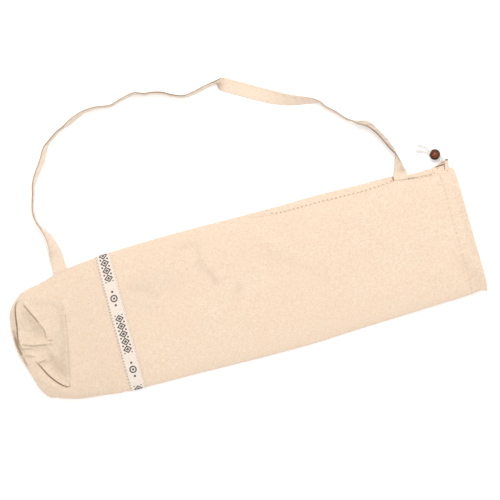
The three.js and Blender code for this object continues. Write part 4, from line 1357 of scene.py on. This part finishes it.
def woven_ribbon():
    """Cotton tape, woven fine and bleached, with a generic print in charcoal ink that is a little worn, and
    a row of needle dips along each edge where it is stitched on, drawn as painted shade."""
    material, tree, shader = new_material("printed_cotton_tape", Roughness=0.8, Sheen_Weight=0.1)
    place = add_node(tree, "ShaderNodeAttribute", attribute_name="cloth").outputs["Vector"]
    split = add_node(tree, "ShaderNodeSeparateXYZ", {0: place})

    def maths(operation, *values):
        return add_node(tree, "ShaderNodeMath", dict(enumerate(values)), operation=operation).outputs[0]

    def within(radius, *offsets):
        squares = [maths("POWER", offset, 2.0) for offset in offsets]
        return maths("LESS_THAN", maths("ADD", *squares), radius**2)

    along = maths("DIVIDE", split.outputs["X"], MM)
    across = maths("DIVIDE", split.outputs["Y"], MM)
    from_middle = maths("ABSOLUTE", across)
    repeat = maths("FLOORED_MODULO", along, PRINT_REPEAT)

    half_length = DIAMOND_LENGTH / 2
    from_cell_start = maths("FLOORED_MODULO", repeat, DIAMOND_LENGTH)
    in_cell = maths("ABSOLUTE", maths("SUBTRACT", from_cell_start, half_length))
    shape = maths("ADD", maths("DIVIDE", in_cell, half_length),
                  maths("DIVIDE", from_middle, DIAMOND_HALF_WIDTH))
    border = maths("COMPARE", shape, 0.82, 0.2)
    core = maths("LESS_THAN", shape, 0.4)
    between = within(1.4, maths("SUBTRACT", in_cell, half_length), maths("SUBTRACT", from_middle, 5.2))
    chain = maths("MULTIPLY", maths("MAXIMUM", maths("MAXIMUM", border, core), between),
                  maths("LESS_THAN", repeat, CHAIN_LENGTH))

    from_ring = maths("ABSOLUTE", maths("SUBTRACT", repeat, RING_PLACE))
    ring = maths("SUBTRACT", within(RING_RADIUS + 1, from_ring, across),
                 within(RING_RADIUS - 1, from_ring, across))
    dots = maths("MAXIMUM", within(1.7, from_ring, across),
                 within(1.7, maths("SUBTRACT", from_ring, DOT_PLACE), across))
    ink_shape = maths("MAXIMUM", chain, maths("MAXIMUM", ring, dots))
    worn = add_node(tree, "ShaderNodeTexNoise", {"Vector": place, "Scale": 1 / (0.9 * MM), "Detail": 2.0})
    patchy = add_node(tree, "ShaderNodeMapRange", {0: worn.outputs[0], 1: 0.3, 2: 0.5, 3: 0.65, 4: 0.97})
    ink = maths("MULTIPLY", ink_shape, patchy.outputs[0])

    # Painted shade in the needle dips, deeper along the left edge than the right.
    from_needle = maths("SUBTRACT", maths("FLOORED_MODULO", along, TAPE_NEEDLE_PITCH), TAPE_NEEDLE_PITCH / 2)
    left_dips = within(0.9, from_needle, maths("ADD", across, TAPE_NEEDLE_LINE))
    right_dips = within(0.8, from_needle, maths("SUBTRACT", across, TAPE_NEEDLE_LINE))
    dips = maths("MAXIMUM", maths("MULTIPLY", left_dips, 0.65), maths("MULTIPLY", right_dips, 0.25))

    tone_noise = add_node(tree, "ShaderNodeTexNoise", {"Vector": place, "Scale": 1 / (3 * MM), "Detail": 3.0})
    tape = add_node(tree, "ShaderNodeMix", data_type="RGBA",
                    inputs={0: tone_noise.outputs[0], 6: linear("#DCD1C6"), 7: linear("#CCBEB1")})
    dipped = add_node(tree, "ShaderNodeMix", data_type="RGBA",
                      inputs={0: dips, 6: tape.outputs[2], 7: linear("#7A5E44")})
    printed = add_node(tree, "ShaderNodeMix", data_type="RGBA",
                       inputs={0: ink, 6: dipped.outputs[2], 7: linear("#2A2724")})
    tree.links.new(printed.outputs[2], shader.inputs["Base Color"])
    ribs = maths("SINE", maths("MULTIPLY", along, 2 * math.pi / 0.7))
    weft = maths("SINE", maths("MULTIPLY", across, 2 * math.pi / 0.5))
    relief_height = maths("MULTIPLY_ADD", ribs, 0.6, weft)
    bump = add_node(tree, "ShaderNodeBump", {"Height": relief_height, "Distance": 0.05 * MM, "Strength": 0.7})
    tree.links.new(bump.outputs[0], shader.inputs["Normal"])
    return material


ribbon_cloth = woven_ribbon()
ribbon_tape()


# Hem inside the mouth, and the cord in its channel
CHANNEL_START = 324.5
CHANNEL_END = 335
HEM_START = 317
HEM_SLOPE = 4.5
HEM_EDGE = 341.3
HEM_SEATED = 1.3
HEM_RAISED = 4.8
HEM_CLOTH = 0.9


def mouth_hem():
    """The turned-in hem: its section lies on the wall, rises over the cord's channel and comes back to the
    wall at the mouth's edge, and it is carried round the inside of the tube, slightly gathered."""
    columns = tube_columns()
    stations = np.concatenate([np.linspace(HEM_START, HEM_EDGE, 19)])
    bulge = smoothstep((stations - CHANNEL_START + HEM_SLOPE) / HEM_SLOPE)
    bulge = bulge * smoothstep((CHANNEL_END + HEM_SLOPE - stations) / HEM_SLOPE)
    insets = HEM_SEATED + (HEM_RAISED - HEM_SEATED) * bulge
    rings = []
    for face_inset, order in ((0, 1), (HEM_CLOTH, -1)):
        for station, inset in list(zip(stations, insets))[::order]:
            top = skin(station, columns, True, inset + face_inset)[0]
            bottom = skin(station, columns[1:-1][::-1], False, inset + face_inset)[0]
            rings.append(np.concatenate([top, bottom]))
    rings = np.array(rings)
    faces = grid_faces(len(rings), rings.shape[1], close_rows=True, close_columns=True)
    piece = mesh_piece("mouth_hem", rings, faces, canvas, "canvas",
                       {"stitch_lines": np.full((rings.shape[0] * rings.shape[1], 3), 1.0)})
    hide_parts("hem_facing")
    return piece


def channel_cord():
    """The drawstring inside the hem's channel, over the upper layer, round the low fold and back."""
    reach = np.linspace(-0.98, 0.94, 60)
    places = [(a, True) for a in reach[::-1]] + [(a, False) for a in reach]
    stations = np.linspace(327.2, 332.8, len(places))
    inset = (HEM_RAISED + WALL) / 2
    line = [skin(s, a, upper, inset)[0] for s, (a, upper) in zip(stations, places)]
    ends_a = [np.array(TAIL_A_START[0]) + (0, -0.8, 0), np.array(TAIL_A_START[0]) + (0, -4, 0.5)]
    ends_b = [np.array(TAIL_B_START[0]) + (0, -4, -1.4), np.array(TAIL_B_START[0]) + (0, -0.8, 0)]
    line, at = curve_along([*ends_a, *[p.reshape(3) for p in line], *ends_b], 1.0)
    piece = mesh_piece("channel_cord", *twisted_cord(line, at, CORD_RADIUS, 12), cord_cotton, "cord")
    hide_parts("drawstring_loop")
    return piece


mouth_hem()
channel_cord()


# Strap
# Places across a ply of the strap, from its free edge to the fold, as shares of half its width.
PLY_PLACES = np.array([1, 0.97, 0.85, 0.65, 0.35, 0, -0.35, -0.65, -0.88, -0.97])


def strap_frames():
    """Points along the strap's middle line every 2 mm, with its width and thickness directions, its distance
    along, how far its two plies stand open, and how thin it is pressed where it is sewn in."""
    rows = np.arange(len(STRAP_ROUTE))
    route = smooth_curve(rows, STRAP_ROUTE)
    fine = route(np.linspace(0, rows[-1], 3000))
    run = np.concatenate([[0], np.cumsum(np.linalg.norm(np.diff(fine[:, :2], axis=0), axis=1))])
    at = np.linspace(0, run[-1], int(run[-1] / 2) + 1)
    x, y, roll, lift, gap_dark = (np.interp(at, run, fine[:, k]) for k in range(5))
    lift = np.maximum(0, lift)
    forward = np.stack([np.gradient(x, at), np.gradient(y, at), np.zeros(len(at))], -1)
    forward /= np.linalg.norm(forward, axis=1, keepdims=True)
    turn = np.radians(roll)
    outward = np.stack([-forward[:, 1], forward[:, 0], np.zeros(len(at))], -1)
    up = np.array([0, 0, 1.0])
    width_way = outward * np.cos(turn)[:, None] + up * np.sin(turn)[:, None]
    thick_way = np.cross(forward, width_way)
    level = STRAP_WIDTH / 2 * np.abs(np.sin(turn)) + STRAP_THICKNESS / 2 * np.abs(np.cos(turn)) + lift
    middle = np.stack([x, y, level], -1)
    opening = (0.2 + 0.4 * smoothstep(0.5 + 0.9 * soft_noise(at, 0 * at, 45, 41))) * np.sin(turn) ** 2
    pressed = 1 - 0.5 * smoothstep((at - run[-1] + 9) / 4)
    return middle, width_way, thick_way, at, opening, pressed, np.clip(gap_dark, 0, 1)


def shoulder_strap():
    """The strap: a strip folded along its length. Its section is a U, two plies joined by the fold on the
    lower side with their edges a little apart on the other, carried along the strap's line."""
    middle, width_way, thick_way, at, opening, pressed, gap_dark = strap_frames()
    half = STRAP_WIDTH / 2
    places = np.concatenate([PLY_PLACES, [-1, -1], PLY_PLACES[::-1]])
    sides = np.concatenate([np.ones(len(PLY_PLACES)), [0.45, -0.45], -np.ones(len(PLY_PLACES))])
    splay = np.clip((places + 0.6) / 1.6, 0, 1)
    wave = 0.35 * np.cos(2 * np.pi * at / 11 + 2.5 * soft_noise(at, 0 * at, 30, 42))
    offset = places * half + wave[:, None] * splay**2
    apart = sides * splay * opening[:, None] * 0.5
    bent = np.abs(width_way[:, 2:])
    drift = soft_noise(at, 0 * at, 25, 43)[:, None]
    streaks = np.cos(2 * np.pi * (at[:, None] / 13 + places / 3) + 4 * drift)
    apart = apart + STRAP_STREAK * streaks * bent * smoothstep((1 - np.abs(places)) / 0.3)
    outer = sides * STRAP_THICKNESS / 2 + apart
    inner = sides * (STRAP_THICKNESS / 2 - STRAP_PLY) + apart
    inner_offset = np.maximum(offset, STRAP_PLY - half)
    offsets = np.concatenate([offset, inner_offset[:, ::-1]], axis=1)
    depths = np.concatenate([outer, inner[:, ::-1]], axis=1) * pressed[:, None]
    points = middle[:, None] + width_way[:, None] * offsets[..., None]
    points = points + thick_way[:, None] * depths[..., None]
    second_ply = 60 * (np.concatenate([sides, sides[::-1]]) < 0)
    cloth = np.stack(np.broadcast_arrays(at[:, None], offsets + second_ply, 0.0), -1)
    # Painted shade: between the plies and at their free edges, on the outer ply's turned-over side at the
    # kink, along the streaks that stand for wrinkles, and over the whole wrinkled stretch beside the
    # mouth-end root.
    inner_dark = gap_dark[:, None] * (places[::-1] > 0)
    kink = bell(middle[:, 0] - STRAP_KINK, 5)[:, None]
    wrinkled = smoothstep((middle[:, :1] - 212) / 10) * smoothstep((middle[:, 1:2] - 122) / 12)
    streak_dark = (0.07 + 0.16 * wrinkled) * smoothstep(-streaks) * bent + 0.27 * wrinkled
    outer_dark = np.maximum(0.35 * kink * smoothstep((0.5 - places) / 0.6), streak_dark)
    outer_dark = np.maximum(outer_dark, 0.55 * gap_dark[:, None] * (places > 0.9))
    dark = np.concatenate([outer_dark, inner_dark], axis=1)

    count = offsets.shape[1]
    faces = grid_faces(len(at), count, close_columns=True)[:, ::-1].tolist()
    k = np.arange(len(places) - 1)
    cap = np.stack([k, k + 1, count - 2 - k, count - 1 - k], -1)
    faces += cap.tolist() + (cap[:, ::-1] + (len(at) - 1) * count).tolist()
    piece = mesh_piece("strap_cloth", points, faces, strap_canvas, "strap",
                       {"cloth": cloth.reshape(-1, 3) * MM, "crease": dark.ravel()})
    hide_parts("shoulder_strap")
    return piece


shoulder_strap()


# Corner of the hem that stands up at the slit
EAR_START = np.array([328.8, 88, 13.4])
EAR_END = np.array([333, 104.4, 13.4])
EAR_RADIUS = 3.8
EAR_TIP_RADIUS = 2.4
EAR_HEIGHT = 0.75


def hem_corner():
    """The hem's end, a short tunnel of cloth that stands up at the slit. Its section is an ellipse carried
    along a line, narrower towards its tip, where the upper side is cut back so that it gapes."""
    along = np.linspace(0, 1, 26)[:, None]
    turn = np.linspace(0, 2 * np.pi, 33)[None, :-1]
    reach = along * (1 - 0.16 * (1 + np.sin(turn)) / 2)
    radius = EAR_RADIUS + (EAR_TIP_RADIUS - EAR_RADIUS) * reach + 0.25 * np.cos(3 * turn + 2) * reach
    way = (EAR_END - EAR_START) / np.linalg.norm(EAR_END - EAR_START)
    side = np.cross([0, 0, 1.0], way)
    up = np.cross(way, side)
    bend = 0.9 * np.sin(np.pi * reach)
    points = (
        EAR_START
        + (EAR_END - EAR_START) * reach[..., None]
        + side * (radius * np.cos(turn) + bend)[..., None]
        + up * (radius * np.sin(turn) * EAR_HEIGHT)[..., None]
    )
    # Painted shade: inside the gaping tip, and down the ear's left side.
    dark = 0.8 * smoothstep((reach - 0.72) / 0.2) * (np.sin(turn) < 0.1)
    left_dark = 0.75 * bell(turn - 0.45, 0.5) * smoothstep(reach / 0.2)
    left_dark = left_dark * smoothstep((0.9 - reach) / 0.4)
    faces = grid_faces(points.shape[0], points.shape[1], close_columns=True)[:, ::-1]
    return mesh_piece("hem_corner", points, faces.tolist(), canvas, "canvas",
                      {"crease": np.maximum(dark, left_dark).ravel(),
                       "stitch_lines": np.full((dark.size, 3), 1.0)}, thickness=0.8)


hem_corner()


# Stitches
def stitches(name, places, along, out, length, width, height, material):
    """A row of stitches: each a flattened capsule of thread, laid along the seam at its place. The capsule's
    half width is (1 - u^4)^(1/2) of its width at u along it."""
    u = np.linspace(-1, 1, 7)
    turns = 2 * np.pi * np.arange(6) / 6
    size = np.sqrt(np.maximum(0, 1 - u**4))
    size[[0, -1]] = 0.25
    side = np.cross(out, along)
    local = np.stack([
        np.broadcast_to((u * length / 2)[:, None], (7, 6)),
        size[:, None] * np.cos(turns) * width / 2,
        size[:, None] * np.sin(turns) * height / 2,
    ], -1).reshape(-1, 3)
    frames = np.stack([along, side, out], axis=1)
    points = places[:, None] + np.einsum("pk,nkd->npd", local, frames)
    faces = grid_faces(7, 6, close_columns=True)[:, ::-1]
    caps = [list(range(6)), list(range(36, 42))[::-1]]
    count = len(local)
    all_faces = (faces[None] + (np.arange(len(places)) * count)[:, None, None]).reshape(-1, 4).tolist()
    for n in range(len(places)):
        all_faces += [[v + n * count for v in cap] for cap in caps]
    return mesh_piece(name, points, all_faces, material, "canvas")


def seam_stitches():
    x = np.arange(28, 314, 5.2)
    x = x[(x < 248) | (x > 252)]
    edge_y = high_edge(x) - seam_offset(x) - 1.1
    across = 2 * (edge_y - low_edge(x)) / (high_edge(x) - low_edge(x)) - 1
    places, along, _, out = skin_frames(x, across, 0)
    return stitches("side_seam_stitches", places + out * 0.12, along, out, 3.6, 0.7, 0.6, thread_cotton)


def hem_stitches():
    across = np.arange(-0.94, 0.9, 0.045)
    station = np.full(across.shape, float(HEM_STITCHES))
    places, _, sideways, out = skin_frames(station, across, 0)
    return stitches("hem_stitches", places + out * 0.1, sideways, out, 3.2, 0.6, 0.5, thread_cotton)


def ribbon_stitches():
    across = np.arange(-0.97, 0.975, 0.042)
    rows = []
    for offset in (-9.4, 9.4):
        station = np.full(across.shape, RIBBON_MIDDLE + offset)
        rows.append(skin_frames(station, across, -RIBBON_GAP - 0.62))
    places, sideways, out = (np.concatenate([r[k] for r in rows]) for k in (0, 2, 3))
    return stitches("ribbon_stitches", places + out * 0.12, sideways, out, 3.0, 0.55, 0.45, thread_cotton)


def strap_stitches():
    middle, width_way, thick_way, at, opening, _, _ = strap_frames()
    pick = np.arange(9, len(at) - 9, 2)
    along = np.gradient(middle, axis=0)
    along /= np.linalg.norm(along, axis=1, keepdims=True)
    offset = STRAP_WIDTH / 2 - 2.4
    rows = []
    for side in (1, -1):
        depth = side * (1.0 + opening * 0.45)
        places = middle + width_way * offset + thick_way * depth[:, None]
        rows.append((places[pick], along[pick], thick_way[pick] * side))
    places, along, out = (np.concatenate([r[k] for r in rows]) for k in range(3))
    return stitches("strap_stitches", places, along, out, 3.0, 0.6, 0.5, thread_cotton)


seam_stitches()
hem_stitches()
ribbon_stitches()
strap_stitches()


# Floor and light
def add_stage():
    """A white floor under soft studio light from above, a little stronger from the far side."""
    half = 6.0
    corners = [(-half, -half, -0.0004), (half, -half, -0.0004), (half, half, -0.0004), (-half, half, -0.0004)]
    mesh = bpy.data.meshes.new("floor")
    mesh.from_pydata(corners, [], [(0, 1, 2, 3)])
    material, _, _ = new_material("matt_white_floor", Base_Color=linear("#FCFCFC"), Roughness=1.0,
                                  Emission_Color=(1, 1, 1, 1), Emission_Strength=0.05)
    mesh.materials.append(material)
    floor = bpy.data.objects.new("floor", mesh)
    bpy.context.scene.collection.objects.link(floor)

    world = bpy.data.worlds.new("studio")
    world.use_nodes = True
    background = world.node_tree.nodes["Background"]
    background.inputs["Color"].default_value = (1, 1, 1, 1)
    background.inputs["Strength"].default_value = 1.165
    bpy.context.scene.world = world

    key = bpy.data.lights.new("key", "AREA")
    key.shape = "DISK"
    key.size = 0.7
    key.energy = 11.5
    lamp = bpy.data.objects.new("key", key)
    lamp.location = (0.32, 0.78, 1.42)
    aim = np.array([0, 0.05, 0]) - np.array(lamp.location)
    pitch = math.atan2(math.hypot(aim[0], aim[1]), -aim[2])
    lamp.rotation_euler = (pitch, 0, math.atan2(-aim[0], aim[1]))
    bpy.context.scene.collection.objects.link(lamp)
    bpy.context.scene.view_settings.view_transform = "Standard"


add_stage()
